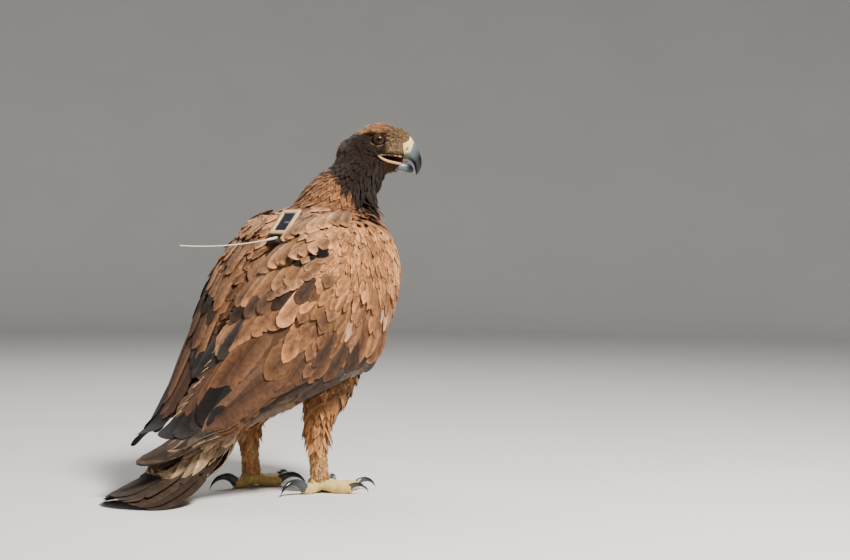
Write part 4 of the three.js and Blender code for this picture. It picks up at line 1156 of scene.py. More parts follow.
class Markings:
    """The pigment of the plumage at places on the bird, shared by skin and coat."""

    crown = linear(142, 100, 64)
    # Near-black cheek: partly the face's own dark brown and partly painted shade.
    cheek_and_shade = linear(33, 20, 10)
    lores = linear(122, 98, 70)
    jaw = linear(104, 66, 42)
    nape = linear(127, 85, 53)
    # Near-black throat: partly dark brown plumage and partly painted shade.
    throat = linear(29, 19, 11)
    shoulder = linear(150, 108, 76)
    back = linear(98, 66, 44)
    breast = linear(104, 70, 46)
    trouser = linear(150, 102, 62)
    shin = linear(190, 140, 92)
    under_tail = linear(158, 132, 104)
    mouth = linear(72, 32, 28)

    @classmethod
    def mask(cls, points: Array) -> Array:
        """The share of the dark mask, partly dark brown plumage and partly painted shade, which runs from the
        eye down the throat to a point.

        Its rear edge and, below the chin, its front edge are places ahead of the head's centre for heights.
        """
        ahead, aside, up = head_local(points)
        rear = np.interp(up, [-116, -98, -72, -65, -46, -25, 0, 15, 30],
                         [1, -21, -30, -41, -55, -63, -60, -30, -24])
        front = np.interp(up, [-114, -80, -66, -55], [1, 7, 9, 16])
        share = ease((ahead - rear + 3) / 6)
        share = share * (1 - 0.75 * ease((17 - np.abs(aside)) / 10) * ease((-28 - ahead) / 14))
        return share * (1 - ease((ahead - front) / 6) * ease((-up - 56) / 8))

    @classmethod
    def head(cls, points: Array) -> Array:
        """A dark mask, partly painted shade, under a tawny crown, with paler lores and a brown chin."""
        ahead, _, up = head_local(points)
        dark = cls.mask(points)[:, None]
        colour = cls.nape * (1 - dark) + cls.cheek_and_shade * dark
        top = (ease((up - 13 - 0.1 * ahead) / 6) * ease((ahead + 26) / 14))[:, None]
        colour = colour * (1 - top) + cls.crown * top
        lores = (ease((ahead - 15) / 12) * ease((up + 17) / 8))[:, None]
        colour = colour * (1 - lores) + cls.lores * lores
        jaw = (ease((ahead - 6) / 20) * ease((-up - 24) / 5))[:, None]
        return colour * (1 - 0.7 * jaw) + cls.jaw * 0.7 * jaw

    @classmethod
    def neck(cls, points: Array) -> Array:
        """Tawny round the dark point of the mask, browner towards the shoulders."""
        up = bird_local(points)[2]
        low = ease((440 - up) / 46)[:, None]
        colour = cls.nape * (1 - low) + cls.shoulder * low
        dark = cls.mask(points)[:, None]
        return colour * (1 - dark) + cls.throat * dark

    @classmethod
    def body(cls, points: Array) -> Array:
        """Brown back and breast, paler towards the thighs, pale under the tail."""
        forward, _, up = bird_local(points)
        behind = ease((-forward - 20 - 0.3 * (up - 200)) / 120)[:, None]
        colour = cls.breast * (1 - behind) + cls.back * behind
        pale = (ease((150 - up) / 40) * ease((-forward - 90) / 60))[:, None]
        colour = colour * (1 - pale) + cls.under_tail * pale
        leg = (ease((190 - up) / 70) * ease((forward + 130) / 40))[:, None]
        return colour * (1 - leg) + cls.trouser * leg

    @classmethod
    def leg(cls, points: Array) -> Array:
        """Tan trousers that turn pale down the shin."""
        low = ease((118 - bird_local(points)[2]) / 60)[:, None]
        return cls.trouser * (1 - low) + cls.shin * low


def grow(
    form: Loft,
    span: tuple[float, float],
    turns: Callable[[float], tuple[float, float]],
    apart: tuple[float, float],
    rng: np.random.Generator,
) -> tuple[Array, Array]:
    """Staggered rows of places over a form, as far apart along it and round it as wanted.

    Args:
        form: The form that carries the rows.
        span: The stations where the rows begin and end.
        turns: The first and last angle of a row at a station.
        apart: Millimetres between rows and between the places in a row.
        rng: The seeded draw for the jitter.

    Returns:
        The stations and the angles of the places.
    """
    s_fine = np.linspace(span[0], span[1], 80)
    middle = form.point(s_fine, np.array([sum(turns(s)) / 2 for s in s_fine]))
    walked = np.concatenate([[0], np.cumsum(np.linalg.norm(np.diff(middle, axis=0), axis=1))])
    rows = max(2, int(round(walked[-1] / (MM * apart[0]))))
    places, angles = [], []
    for k, s in enumerate(np.interp(np.linspace(0, walked[-1], rows), walked, s_fine)):
        first, final = turns(float(s))
        fine = np.linspace(first, final, 60)
        ring = form.point(np.full(60, s), fine)
        round_way = np.concatenate([[0], np.cumsum(np.linalg.norm(np.diff(ring, axis=0), axis=1))])
        count = max(1, int(round(round_way[-1] / (MM * apart[1]))))
        offset = 0.25 if k % 2 else 0.75
        shares = (np.arange(count) + offset + JITTER * rng.uniform(-1, 1, count)) / (count + 0.5)
        angles.append(np.interp(shares * round_way[-1], round_way, fine))
        step = (span[1] - span[0]) / rows
        places.append(s + JITTER * step * rng.uniform(-1, 1, count))
    return np.clip(np.concatenate(places), 0, form.last), np.concatenate(angles)


def unwrap(form: Loft, s: Array, turn: Array) -> Array:
    """Places on the flat unwrap of a form: the angle round it and the way along it, from 0 to 1."""
    return np.stack([0.02 + 0.96 * (turn / (2 * math.pi) + 0.5), 0.02 + 0.96 * s / form.last], axis=1)


def steady(direction: Array) -> Heading:
    """A heading that is the same everywhere."""
    return lambda points, share: np.tile(direction, (len(points), 1))


# The open mouth from the side of the head, as ahead and up: its upper line, then its lower one.
MOUTH_UPPER = [(5, -19.6), (22, -19.4), (40, -20.6), (60, -23.6)]
MOUTH_LOWER = [(60, -27.4), (52, -27.3), (40, -27.2), (26, -26.2), (15, -23.6)]
# The ridge over each eye as ahead, aside and up, and its radii.
BROW = [(-14, 25, 16), (-4, 29.5, 18), (8, 31, 17.6), (20, 29, 14.5), (30, 25, 8.5)]
BROW_RADII = [1.6, 4, 4.9, 4.4, 2.2]


def mouth_lines(ahead: Array) -> tuple[Array, Array]:
    """The heights of the open mouth's upper and lower line at places ahead."""
    upper, lower = np.array(MOUTH_UPPER, dtype=float), np.array(MOUTH_LOWER[::-1], dtype=float)
    return np.interp(ahead, *upper.T), np.interp(ahead, *lower.T)


def brow_form(side: int) -> Loft:
    """The bony ridge over an eye: a tube whose radius follows its path."""
    ahead, aside, up = np.array(BROW, dtype=float).T
    path = HEAD.place(ahead, side * aside, up)
    radii = MM * np.array(BROW_RADII)
    return Loft.along(path, np.tile(HEAD.way(0, 0, 1), (len(path), 1)), radii, radii)


@dataclass
class Skin:
    """One skin over torso, neck, head, wings' arms and legs, below the coat by its depth."""

    voxel: float = 2.6
    body_depth: float = 9.0
    neck_depth: float = 6.0
    head_depth: float = 2.2
    thigh_depth: float = 7.0
    shank_depth: float = 3.5
    tail_depth: float = 6.0
    socket: float = 10.4
    lining: float = 6.0

    def wing_pad(self, side: int) -> Surface:
        """The arm of a folded wing.

        Its outer sheet runs from the torso's skin at the rim to the folded form inside, by the smaller of two
        smooth steps from its ends and its edges, and its inner sheet lies in the torso.
        """
        rows, columns = 40, 28
        edges = np.array(WING_EDGES, dtype=float)
        s = np.linspace(edges[0, 0], edges[-1, 0], rows)[:, None] * np.ones((1, columns))
        front, back = (np.radians(np.interp(s, edges[:, 0], edges[:, k])) for k in (1, 2))
        t = np.linspace(0, 1, columns)[None, :] * np.ones((rows, 1))
        turn = side * (front + (back - front) * t)
        i = np.arange(rows)[:, None] * np.ones((1, columns))
        ends = ease(np.minimum(i, rows - 1 - i) / (0.17 * rows))
        rims = ease(np.minimum(t, 1 - t) / 0.24)
        share = np.minimum(ends, rims)[..., None]
        depth = MM * self.body_depth
        low = TORSO_FORM.point(s, turn, MM * 4 - depth)
        high = FOLDED_FORM.point(s, turn, -depth)
        outer = low * (1 - share) + high * share
        inner = TORSO_FORM.point(s, turn, -depth - MM * 12)
        return Surface.tube(np.concatenate([outer, inner[:, ::-1]], axis=1))

    def ball(self, centre: Array, radii: Sequence[float]) -> Surface:
        """An ellipsoid in the head's axes: the sines and cosines of two angles times three radii."""
        polar = np.linspace(0.02, math.pi - 0.02, 20)[:, None]
        round_way = np.linspace(0, 2 * math.pi, 28, endpoint=False)[None, :]
        grid = centre + MM * HEAD.way(
            radii[0] * np.sin(polar) * np.cos(round_way),
            radii[1] * np.cos(polar) * np.ones_like(round_way),
            radii[2] * np.sin(polar) * np.sin(round_way),
        )
        return Surface.tube(grid)

    def mouth_wedge(self, side: int) -> Surface:
        """One side of the open mouth's room: its outline from the side carried in to the lining."""
        outline = np.array(MOUTH_UPPER + MOUTH_LOWER, dtype=float)
        aside = side * np.array([self.lining, 46.0])[:, None] * np.ones((1, len(outline)))
        return Surface.tube(HEAD.place(outline[None, :, 0] + 0 * aside, aside,
                                       outline[None, :, 1] + 0 * aside))

    def cut(self, made: bpy.types.Object, tool: Surface) -> None:
        """Takes a closed surface's room out of an object."""
        knife = tool.build("knife")
        cutter = made.modifiers.new("cut", "BOOLEAN")
        cutter.operation = "DIFFERENCE"
        cutter.object = knife
        cutter.solver = "EXACT"
        apply_modifiers(made)
        bpy.data.objects.remove(knife)

    def build(self) -> bpy.types.Object:
        """Joins the forms by a voxel remesh, smooths them, and opens the mouth and the eyes' sockets."""
        parts = [
            TORSO_FORM.shell(60, 72, MM * self.body_depth),
            NECK_FORM.shell(40, 48, MM * self.neck_depth),
            SKULL_FORM.shell(60, 64, MM * self.head_depth),
            TAIL_FORM.shell(30, 36, MM * self.tail_depth),
        ]
        for name, side in SIDES.items():
            parts.append(self.wing_pad(side))
            parts.append(leg_form(name, THIGH).shell(40, 36, MM * self.thigh_depth))
            parts.append(leg_form(name, SHANK).shell(30, 28, MM * self.shank_depth))
            parts.append(brow_form(side).shell(24, 16))
        made = Surface.join([Surface(part.points, part.faces) for part in parts]).build("skin")
        remesh = made.modifiers.new("join", "REMESH")
        remesh.mode = "VOXEL"
        remesh.voxel_size = MM * self.voxel
        remesh.use_smooth_shade = True
        relax = made.modifiers.new("relax", "SMOOTH")
        relax.factor = 0.5
        relax.iterations = 5
        apply_modifiers(made)
        for side in SIDES.values():
            eye = HEAD.place(EYE_PLACE[0], side * (EYE_PLACE[1] + 12.5), EYE_PLACE[2] - 0.5)
            self.cut(made, self.ball(eye, (self.socket * 1.12, 9.5, self.socket * 0.92)))
            self.cut(made, self.mouth_wedge(side))
        self.paint(made)
        return made

    def paint(self, made: bpy.types.Object) -> None:
        """Puts the markings on the skin's vertices, darker than the coat, the mouth's lining dark red."""
        points = vertices_of(made)
        ahead, _, above = head_local(points)
        forward, _, up = bird_local(points)
        head_share = ease((up - 496) / 16)[:, None] * ease((ahead + 60) / 10)[:, None]
        neck_share = ease((up - 392) / 40)[:, None]
        leg_share = ease((128 - up) / 20)[:, None] * ease((forward + 110) / 10)[:, None]
        colour = Markings.body(points) * (1 - neck_share) + Markings.neck(points) * neck_share
        colour = colour * (1 - head_share) + Markings.head(points) * head_share
        colour = colour * (1 - leg_share) + Markings.leg(points) * leg_share
        colour = colour * 0.62
        upper, lower = mouth_lines(ahead)
        lining = (ahead > 6) & (above < upper + 0.4) & (above > lower - 0.4)
        colour[lining & (up > 480)] = Markings.mouth
        keep_colour(made.data, "pigment", colour)


@dataclass
class Tract:
    """Feathers of one kind over a part of a form, laid along a heading on a guide."""

    name: str
    form: Loft
    span: tuple[float, float]
    turns: Callable[[float], tuple[float, float]]
    apart: tuple[float, float]
    feather: Feather
    heading: Heading
    pigment: Callable[[Array], Array]
    steps: int = 4
    sized: Callable[[Array], Array] | None = None
    keep: Callable[[Array], Array] | None = None

    def plan(self, guide: Guide, rng: np.random.Generator) -> Plan:
        """Works out the roots on the guide and each feather's size and colour."""
        s, turn = grow(self.form, self.span, self.turns, self.apart, rng)
        roots = guide.settle(self.form.point(s, turn))
        spots = unwrap(self.form, s, turn)
        if self.keep is not None:
            kept = self.keep(roots)
            roots, spots = roots[kept], spots[kept]
        scale = 1 + self.feather.vary * rng.uniform(-1, 1, len(roots))
        if self.sized is not None:
            scale = scale * self.sized(roots)
        return Plan(roots, spots, scale, self.pigment(roots))

    def build(self, guide: Guide, rng: np.random.Generator) -> Surface:
        """Walks each feather over the guide and makes its vane."""
        plan = self.plan(guide, rng)
        lengths = MM * self.feather.length * plan.scale
        stray = unit(rng.normal(size=plan.roots.shape)) * 0.12

        def wander(points: Array, share: float) -> Array:
            """The tract's heading with each feather's own small stray."""
            return unit(self.heading(points, share)) + stray

        path, normals = guide.walk(plan.roots, wander, lengths, self.steps)
        return make_vanes(self.feather, path, normals, plan, rng)


def coat(name: str, tracts: Sequence[Tract], guide: Guide, rng: np.random.Generator) -> bpy.types.Object:
    """One piece of the coat from several tracts.

    Args:
        name: The piece's name.
        tracts: The tracts that it holds.
        guide: The surface under them.
        rng: The seeded draw.

    Returns:
        The piece.
    """
    log.info("%s grows as %s", name, ", ".join(tract.name for tract in tracts))
    return Surface.join([tract.build(guide, rng) for tract in tracts]).build(name)


def around(first: float, final: float) -> Callable[[float], tuple[float, float]]:
    """The same first and last angle, in degrees, at every station."""
    return lambda s: (math.radians(first), math.radians(final))


def clear_of_tag(points: Array) -> Array:
    """True off the tag's case and for a feather's length above it."""
    low, high = (np.array(corner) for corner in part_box("tag_case"))
    inside = (points > low - MM * 4) & (points < high + MM * np.array([4, 4, 40]))
    return ~np.all(inside, axis=1)


@dataclass
class HeadCoat:
    """The tiny feathers of the face and crown, and the narrow ones of neck and throat."""

    face: Feather = field(default_factory=lambda: Feather(
        9.5, 3.0, Outline.LANCE, 0.4, 2.3, 0.35, 0.35, rows=4, columns=3, curl=0.5, vary=0.35))
    hackle: Feather = field(default_factory=lambda: Feather(
        30.0, 8.5, Outline.LANCE, 1.0, 4.2, 0.35, 0.4, rows=6, columns=3, curl=1.2, vary=0.25))
    throat: Feather = field(default_factory=lambda: Feather(
        20.0, 6.5, Outline.LANCE, 0.8, 3.2, 0.35, 0.4, rows=5, columns=3, vary=0.25))

    def clear_of_face(self, points: Array) -> Array:
        """True where feathers grow: not on eye, cere, bill or in the mouth."""
        ahead, _, up = head_local(points)
        reach = np.where(ahead > EYE_PLACE[0], 15.5, 12.6)
        eye = ((ahead - EYE_PLACE[0]) / reach) ** 2 + ((up - EYE_PLACE[2]) / 10.8) ** 2 < 1
        upper, lower = mouth_lines(ahead)
        mouth = (ahead > 2.5) & (up < upper + 2.6) & (up > lower - 3.6)
        bill = (ahead > 40.5) & (up > -24)
        chin = (ahead > 47)
        return ~(eye | mouth | bill | chin)

    def face_heading(self, points: Array, share: float) -> Array:
        """Back over the head from the bill, parting round the eye."""
        ahead, aside, up = head_local(points)
        side = np.sign(aside)
        off_ahead, off_up = ahead - EYE_PLACE[0], up - EYE_PLACE[2]
        near = np.exp(-(off_ahead**2 + off_up**2) / 16.0**2)
        lift = near * np.sign(off_up) * 0.9
        return HEAD.way(-1.0, 0.12 * side, -0.22 + lift)

    def drape(self, points: Array, share: float) -> Array:
        """Down from the neck on every side, and back over the shoulders."""
        forward, left, _ = bird_local(points)
        return BIRD.way(-0.35 + (forward - 62) / 220, left / 110, -0.8)

    def face_size(self, points: Array) -> Array:
        """Smallest at the bill and round the eye, larger towards the nape."""
        return 0.62 + 0.9 * ease((24 - head_local(points)[0]) / 62)

    def forehead(self, cere: Guide, rng: np.random.Generator) -> bpy.types.Object:
        """The feathers that run out over the cere's rear, farthest along its ridge."""
        def keep(points: Array) -> Array:
            """True on the upper rear of the cere."""
            ahead, _, up = head_local(points)
            return ahead < np.interp(up, [-14, -8, -1, 3, 9], [40, 44, 42.5, 46, 55])

        form = Loft.between_edges(Bill().cere, HEAD, 2.1)
        small = Feather(**{**self.face.__dict__, "length": 6.5, "width": 1.9})
        tract = Tract("forehead", form, (0.3, 3.6), around(48, 312), (1.9, 1.5), small, self.face_heading,
                      Markings.head, 2, None, keep)
        return coat("forehead_feathers", [tract], cere, rng)

    def build(self, guide: Guide, rng: np.random.Generator) -> list[bpy.types.Object]:
        """Makes the pieces of the head's and neck's coat."""
        axis = BIRD.way(-0.5, 0.1, -0.85)
        tracts = [
            Tract("face", SKULL_FORM, (0.4, 8.0), around(-180, 180), (2.3, 1.9), self.face, self.face_heading,
                  Markings.head, 2, self.face_size, self.clear_of_face),
        ]
        for side in SIDES.values():
            tracts.append(Tract("brow", brow_form(side), (0.0, 4.0), around(-180, 180), (2.2, 1.8), self.face,
                                steady(HEAD.way(-1.0, 0.1 * side, -0.12)), Markings.head, 2, self.face_size,
                                self.clear_of_face))
        pieces = [coat("head_feathers", tracts, guide, rng)]
        collar = Feather(**{**self.hackle.__dict__, "length": 44.0, "width": 13.0, "columns": 5, "lift": 4.5})
        ruff = Feather(**{**self.hackle.__dict__, "length": 42.0, "width": 10.0, "lift": 15.0})
        cape = Feather(**{**self.hackle.__dict__, "length": 34.0, "width": 6.5, "lift": 4.0})

        def tan_front(points: Array) -> Array:
            """The neck's markings, but tawny in front of the dark point."""
            left = ease((head_local(points)[1] + 42) / 8)
            low = ease((477 - bird_local(points)[2]) / 14)
            front = (left * low)[:, None]
            return Markings.neck(points) * (1 - front) + Markings.shoulder * front

        neck = [
            Tract("collar", TORSO_FORM, (0.0, 1.5), around(-180, 180), (11, 10), collar, self.drape,
                  Markings.neck, 4, None, clear_of_tag),
            Tract("ruff", NECK_FORM, (0.5, 3.1), around(-80, 80), (8, 7), ruff, steady(BIRD.way(0.1, 0, -1)),
                  tan_front),
            Tract("cape", SKULL_FORM, (0.1, 1.9), around(60, 300), (5, 4.5), cape, steady(axis),
                  Markings.head, 2),
            Tract("hackles", NECK_FORM, (0.0, 5.0), around(50, 310), (6.4, 5.2), self.hackle, steady(axis),
                  Markings.neck, 4, lambda p: 0.75 + 0.5 * ease((500 - bird_local(p)[2]) / 70)),
            Tract("throat", NECK_FORM, (0.0, 5.0), around(-58, 58), (5.2, 4.4), self.throat,
                  steady(BIRD.way(-0.32, 0.05, -0.95)), tan_front, 4,
                  lambda p: 0.8 + 0.3 * ease((500 - bird_local(p)[2]) / 70)),
        ]
        pieces.append(coat("neck_feathers", neck, guide, rng))
        return pieces


@dataclass
class BodyCoat:
    """The feathers of breast, belly, back and under the tail."""

    breast: Feather = field(default_factory=lambda: Feather(
        38.0, 19.0, Outline.ROUND, 2.0, 6.0, 0.3, 0.5, rows=6, columns=5, curl=1.5, vary=0.2))
    mantle: Feather = field(default_factory=lambda: Feather(
        48.0, 24.0, Outline.ROUND, 2.0, 7.0, 0.3, 0.5, rows=7, columns=5, curl=1.0, vary=0.2))
    vent: Feather = field(default_factory=lambda: Feather(
        52.0, 17.0, Outline.LANCE, 2.0, 6.0, 0.3, 0.5, rows=7, columns=5, curl=2.0, vary=0.25))

    def heading(self, points: Array, share: float) -> Array:
        """Down and towards the tail, more level under the body."""
        under = ease((230 - bird_local(points)[2]) / 90)
        return BIRD.way(-0.42 - 0.6 * under, 0, -0.95 + 0.45 * under)

    def mantle_pigment(self, points: Array) -> Array:
        """The body's markings, golden at the shoulders."""
        up = bird_local(points)[2]
        high = ease((up - 330) / 80)[:, None]
        return Markings.body(points) * (1 - high) + Markings.shoulder * high

    def build(self, guide: Guide, rng: np.random.Generator) -> list[bpy.types.Object]:
        """Makes the pieces of the body's coat."""
        slope = BIRD.way(-0.55, 0.0, -0.84)
        front = [
            Tract("breast", TORSO_FORM, (0.1, 6.6), around(-74, 74), (12.5, 11.5), self.breast, self.heading,
                  Markings.body),
        ]
        back = [
            Tract("mantle", TORSO_FORM, (0.0, 8.2), around(118, 242), (13, 11.5), self.mantle, steady(slope),
                  self.mantle_pigment, 4, None, clear_of_tag),
            Tract("vent", TORSO_FORM, (6.4, 9.0), around(-118, 118), (12, 11), self.vent,
                  steady(BIRD.way(-0.85, 0, -0.5)), Markings.body),
        ]
        return [coat("breast_feathers", front, guide, rng), coat("back_feathers", back, guide, rng)]


@dataclass
class LegCoat:
    """The trousers and the short feathers down to the toes."""

    trouser: Feather = field(default_factory=lambda: Feather(
        34.0, 11.0, Outline.LANCE, 1.5, 5.5, 0.35, 0.4, rows=5, columns=3, curl=3.0, vary=0.3))
    shin: Feather = field(default_factory=lambda: Feather(
        12.0, 4.6, Outline.LANCE, 0.5, 2.4, 0.35, 0.3, rows=4, columns=3, vary=0.3))

    def build(self, name: str, guide: Guide, rng: np.random.Generator) -> bpy.types.Object:
        """Makes one leg's coat."""
        tracts = [
            Tract("trouser", leg_form(name, THIGH), (0.6, 5.0), around(-180, 180), (8.5, 7.5), self.trouser,
                  steady(BIRD.way(-0.12, 0, -1)), Markings.leg),
            Tract("shin", leg_form(name, SHANK), (0.0, 4.0), around(-180, 180), (4.2, 3.2), self.shin,
                  steady(BIRD.way(0.05, 0, -1)), Markings.leg, 3),
        ]
        return coat(f"leg_feathers_{name}", tracts, guide, rng)


@dataclass(frozen=True)
class Tier:
    """A line of feathers on a folded wing, from its first root to its last.

    Roots are forward and up in the side view, or, on the form, a station and an angle in degrees. Lengths
    and widths are millimetres, and headings are degrees below level at the root and the tip, for the first
    feather and for the last.
    """

    count: int
    start: tuple[float, float]
    end: tuple[float, float]
    lengths: tuple[float, ...]
    widths: tuple[float, float]
    headings: tuple[tuple[float, float], tuple[float, float]]
    colour: tuple[float, float, float]
    feather: Feather
    on_form: bool = False
    last_colour: tuple[float, float, float] | None = None
    inward: float = 0.0
    stray: float = 3.0

    def roots(self, side: int, rng: np.random.Generator) -> tuple[Array, Array]:
        """The roots and each one's share of the way along its line."""
        share = np.linspace(0, 1, self.count)
        strayed = share + 0.16 / self.count * rng.uniform(-1, 1, self.count)
        first = self.start[0] + (self.end[0] - self.start[0]) * strayed
        second = self.start[1] + (self.end[1] - self.start[1]) * strayed
        if self.on_form:
            return FOLDED_FORM.point(first, side * np.radians(second)), share
        return BIRD.place(first, side * 165.0, second + self.stray * rng.uniform(-1, 1, self.count)), share

    def build(self, guide: Guide, side: int, rng: np.random.Generator, painted_shade: float = 1.0) -> Surface:
        """Lays the tier's feathers over the guide, their colour darkened by a factor as painted shade."""
        roots, share = self.roots(side, rng)
        lengths = np.interp(share, np.linspace(0, 1, len(self.lengths)), self.lengths)
        lengths = MM * lengths * (1 + 0.012 * self.stray * rng.uniform(-1, 1, len(share)))
        (a0, a1), (b0, b1) = self.headings
        lean = rng.normal(size=len(share)) * self.stray

        def heading(points: Array, way: float) -> Array:
            """Below level by the degrees of each feather's share and of the way along it."""
            first = a0 + (a1 - a0) * way
            last = b0 + (b1 - b0) * way
            angle = np.radians(first + (last - first) * share + lean)
            return BIRD.way(-np.cos(angle), -side * self.inward, -np.sin(angle))

        path, normals = guide.walk(roots, heading, lengths, 8)
        widths = self.widths[0] + (self.widths[1] - self.widths[0]) * share
        first, last = linear(*self.colour), linear(*(self.last_colour or self.colour))
        base = (first + (last - first) * share[:, None]) * (1 + 0.32 * rng.uniform(-1, 1, (self.count, 1)))
        spots = 0.02 + 0.96 * np.stack([(np.arange(self.count) + 0.5) / self.count, np.full(self.count, 0.5)],
                                       axis=1)
        kind = Feather(**{**self.feather.__dict__, "roll": self.feather.roll * side, "width": 1.0})
        kind.length = float((lengths / widths).mean() / MM)
        return make_vanes(kind, path, normals, Plan(roots, spots, widths, base * painted_shade), rng)


COVERT = Feather(1, 1, Outline.ROUND, 2.0, 5.0, 0.22, 0.6, roll=-8, rows=16, columns=9, skew=0.35, notches=2,
                 vary=0.2)
QUILL = Feather(1, 1, Outline.BROAD, 3.0, 2.5, 0.12, 0.9, roll=-9, rows=44, columns=11, skew=0.5, notches=5,
                vary=0.08)
HAND = Feather(1, 1, Outline.FLIGHT, 6.0, 0.5, 0.12, 0.9, roll=-9, rows=50, columns=11, skew=0.5, notches=5,
               vary=0.08)
DROOP = Feather(1, 1, Outline.BROAD, 3.0, 4.0, 0.2, 0.7, roll=6, rows=26, columns=9, skew=0.35, notches=4,
                vary=0.15)
CURLED = Feather(1, 1, Outline.ROUND, 2.0, 7.0, 0.6, 0.7, roll=12, curl=0.25, rows=16, columns=9, skew=0.3,
                 vary=0.1)
FRAYED = Feather(1, 1, Outline.WISP, 1.0, 5.0, 0.1, 0.5, curl=1.6, rows=12, columns=3, vary=0.5)


@dataclass
class Wing:
    """A folded wing: coverts in tiers over the quills, with scapulars and tertials along its back edge."""

    name: str
    reach: float = 1.0
    # A factor that darkens the whole wing as painted shade, below 1 for the far wing.
    painted_shade: float = 1.0
    lesser: Feather = field(default_factory=lambda: Feather(
        32.0, 9.0, Outline.SOFT, 1.5, 3.6, 0.4, 0.45, rows=8, columns=5, curl=0.8, vary=0.3))
    middle: Feather = field(default_factory=lambda: Feather(
        54.0, 15.0, Outline.SOFT, 1.5, 5.0, 0.35, 0.5, rows=12, columns=7, curl=1.0, vary=0.28, skew=0.3,
        notches=1))

    @property
    def side(self) -> int:
        """1 on the left and -1 on the right."""
        return SIDES[self.name]

    def coverts(self) -> list[Tier]:
        """The tiers of coverts, lowest first."""
        return [
            Tier(10, (50, 240), (-104, 272), (56, 76, 100, 116, 118), (28, 40), ((74, 64), (50, 48)),
                 (88, 59, 38), COVERT),
            Tier(6, (36, 262), (-80, 282), (78, 96, 102), (28, 36), ((76, 68), (56, 52)), (66, 45, 32),
                 COVERT, stray=5),
            Tier(12, (60, 268), (-104, 296), (74, 86, 96, 98), (22, 32), ((80, 70), (54, 50)),
                 (114, 77, 49), COVERT, stray=6),
        ]

    def quills(self) -> list[Tier]:
        """The primaries, secondaries and the small feathers of the thumb."""
        r = self.reach
        return [
            Tier(8, (22, 204), (-22, 232), (310 * r, 380 * r, 396 * r, 372 * r, 320 * r), (30, 38),
                 ((30, 15), (33, 16)), (98, 80, 64), HAND, last_colour=(40, 31, 26), stray=1.2),
            Tier(9, (34, 252), (-56, 282), (216, 258, 284, 286, 262), (42, 54), ((27, 23), (44, 37)),
                 (54, 38, 28), QUILL, last_colour=(90, 60, 40), stray=2),
            Tier(5, (40, 220), (-4, 226), (110, 150), (24, 30), ((44, 32), (38, 30)), (50, 37, 29), COVERT),
            Tier(9, (72, 222), (6, 214), (58, 82), (15, 19), ((58, 46), (40, 34)), (80, 72, 64), COVERT,
                 stray=6),
        ]

    def back(self) -> list[Tier]:
        """The tertials and scapulars, by station and angle."""
        return [
            Tier(4, (4.7, 150), (5.7, 169), (176, 168), (42, 46), ((48, 42), (48, 42)), (27, 21, 19), DROOP,
                 True, stray=2),
            Tier(5, (4.1, 140), (5.0, 166), (168, 160), (40, 46), ((48, 42), (48, 42)), (88, 58, 38), DROOP,
                 True, inward=0.12),
            Tier(3, (3.9, 152), (4.3, 166), (124, 130), (30, 34), ((50, 44), (50, 44)), (46, 39, 35), DROOP,
                 True, inward=0.3, stray=2),
            Tier(7, (3.2, 126), (4.0, 166), (106, 114), (28, 34), ((52, 46), (50, 44)), (130, 90, 60), DROOP,
                 True, inward=0.18, stray=6),
            Tier(5, (2.9, 124), (3.4, 164), (80, 88), (26, 30), ((56, 50), (52, 46)), (62, 43, 31), DROOP,
                 True, inward=0.15, stray=6),
            Tier(8, (2.3, 120), (3.0, 162), (78, 88), (24, 30), ((56, 50), (52, 46)), (150, 106, 70), DROOP,
                 True, inward=0.2, stray=7),
            Tier(7, (1.6, 116), (2.2, 157), (64, 74), (24, 28), ((60, 54), (54, 50)), (158, 112, 74), DROOP,
                 True, inward=0.1, stray=7),
            Tier(10, (1.0, 112), (1.5, 155), (44, 50), (17, 20), ((62, 56), (56, 52)), (158, 114, 77), DROOP,
                 True, stray=9),
        ]

    def shoulder(self) -> list[Tier]:
        """The lump of curled scapulars over near-black feathers that paint the shade of its hollow, small
        rounded feathers, and a frayed line.
        """
        return [
            # Near-black feathers under the lump: painted shade in the hollow beneath it.
            Tier(3, (2.32, 124), (2.5, 136), (34, 40), (22, 24), ((34, 30), (34, 30)), (12, 9, 7), COVERT,
                 True),
            Tier(5, (2.0, 120), (2.35, 146), (44, 50), (24, 28), ((40, 30), (40, 30)), (152, 108, 72), CURLED,
                 True, stray=6),
            Tier(6, (2.9, 132), (3.5, 148), (34, 38), (18, 20), ((62, 58), (60, 56)), (146, 106, 76), COVERT,
                 True, stray=7),
            Tier(13, (4.3, 172), (7.6, 173), (16, 38), (1.8, 3.0), ((64, 50), (44, 34)), (184, 160, 128),
                 FRAYED, True, stray=34),
        ]

    def turns(self, margin: float, back_edge: float) -> Callable[[float], tuple[float, float]]:
        """The angles at a station from the wing's front edge, less a margin, to a back edge, in degrees."""
        edges = np.array(WING_EDGES, dtype=float)

        def between(s: float) -> tuple[float, float]:
            """The two angles at a station."""
            front = float(np.interp(s, edges[:, 0], edges[:, 1]))
            return math.radians(self.side * (front - margin)), math.radians(self.side * back_edge)

        return between

    def pigment(self, points: Array) -> Array:
        """Golden on the shoulder and streaky tan below, in clouds, darkened by the wing's painted shade."""
        forward, _, up = bird_local(points)
        cloud = 0.5 + 0.25 * (np.sin(forward * 0.11 + up * 0.05) + np.sin(up * 0.09 - forward * 0.04 + 1.7))
        pale = ease((up - 280) / 90)[:, None] * 0.8 + 0.2 * cloud[:, None]
        return (linear(112, 74, 46) * (1 - pale) + linear(174, 120, 74) * pale) * self.painted_shade

    def heading(self, points: Array, share: float) -> Array:
        """Down in front and more towards the tail behind."""
        behind = ease((70 - bird_local(points)[0]) / 170)
        return BIRD.way(-0.15 - 0.75 * behind, 0, -1.0 + 0.3 * behind)

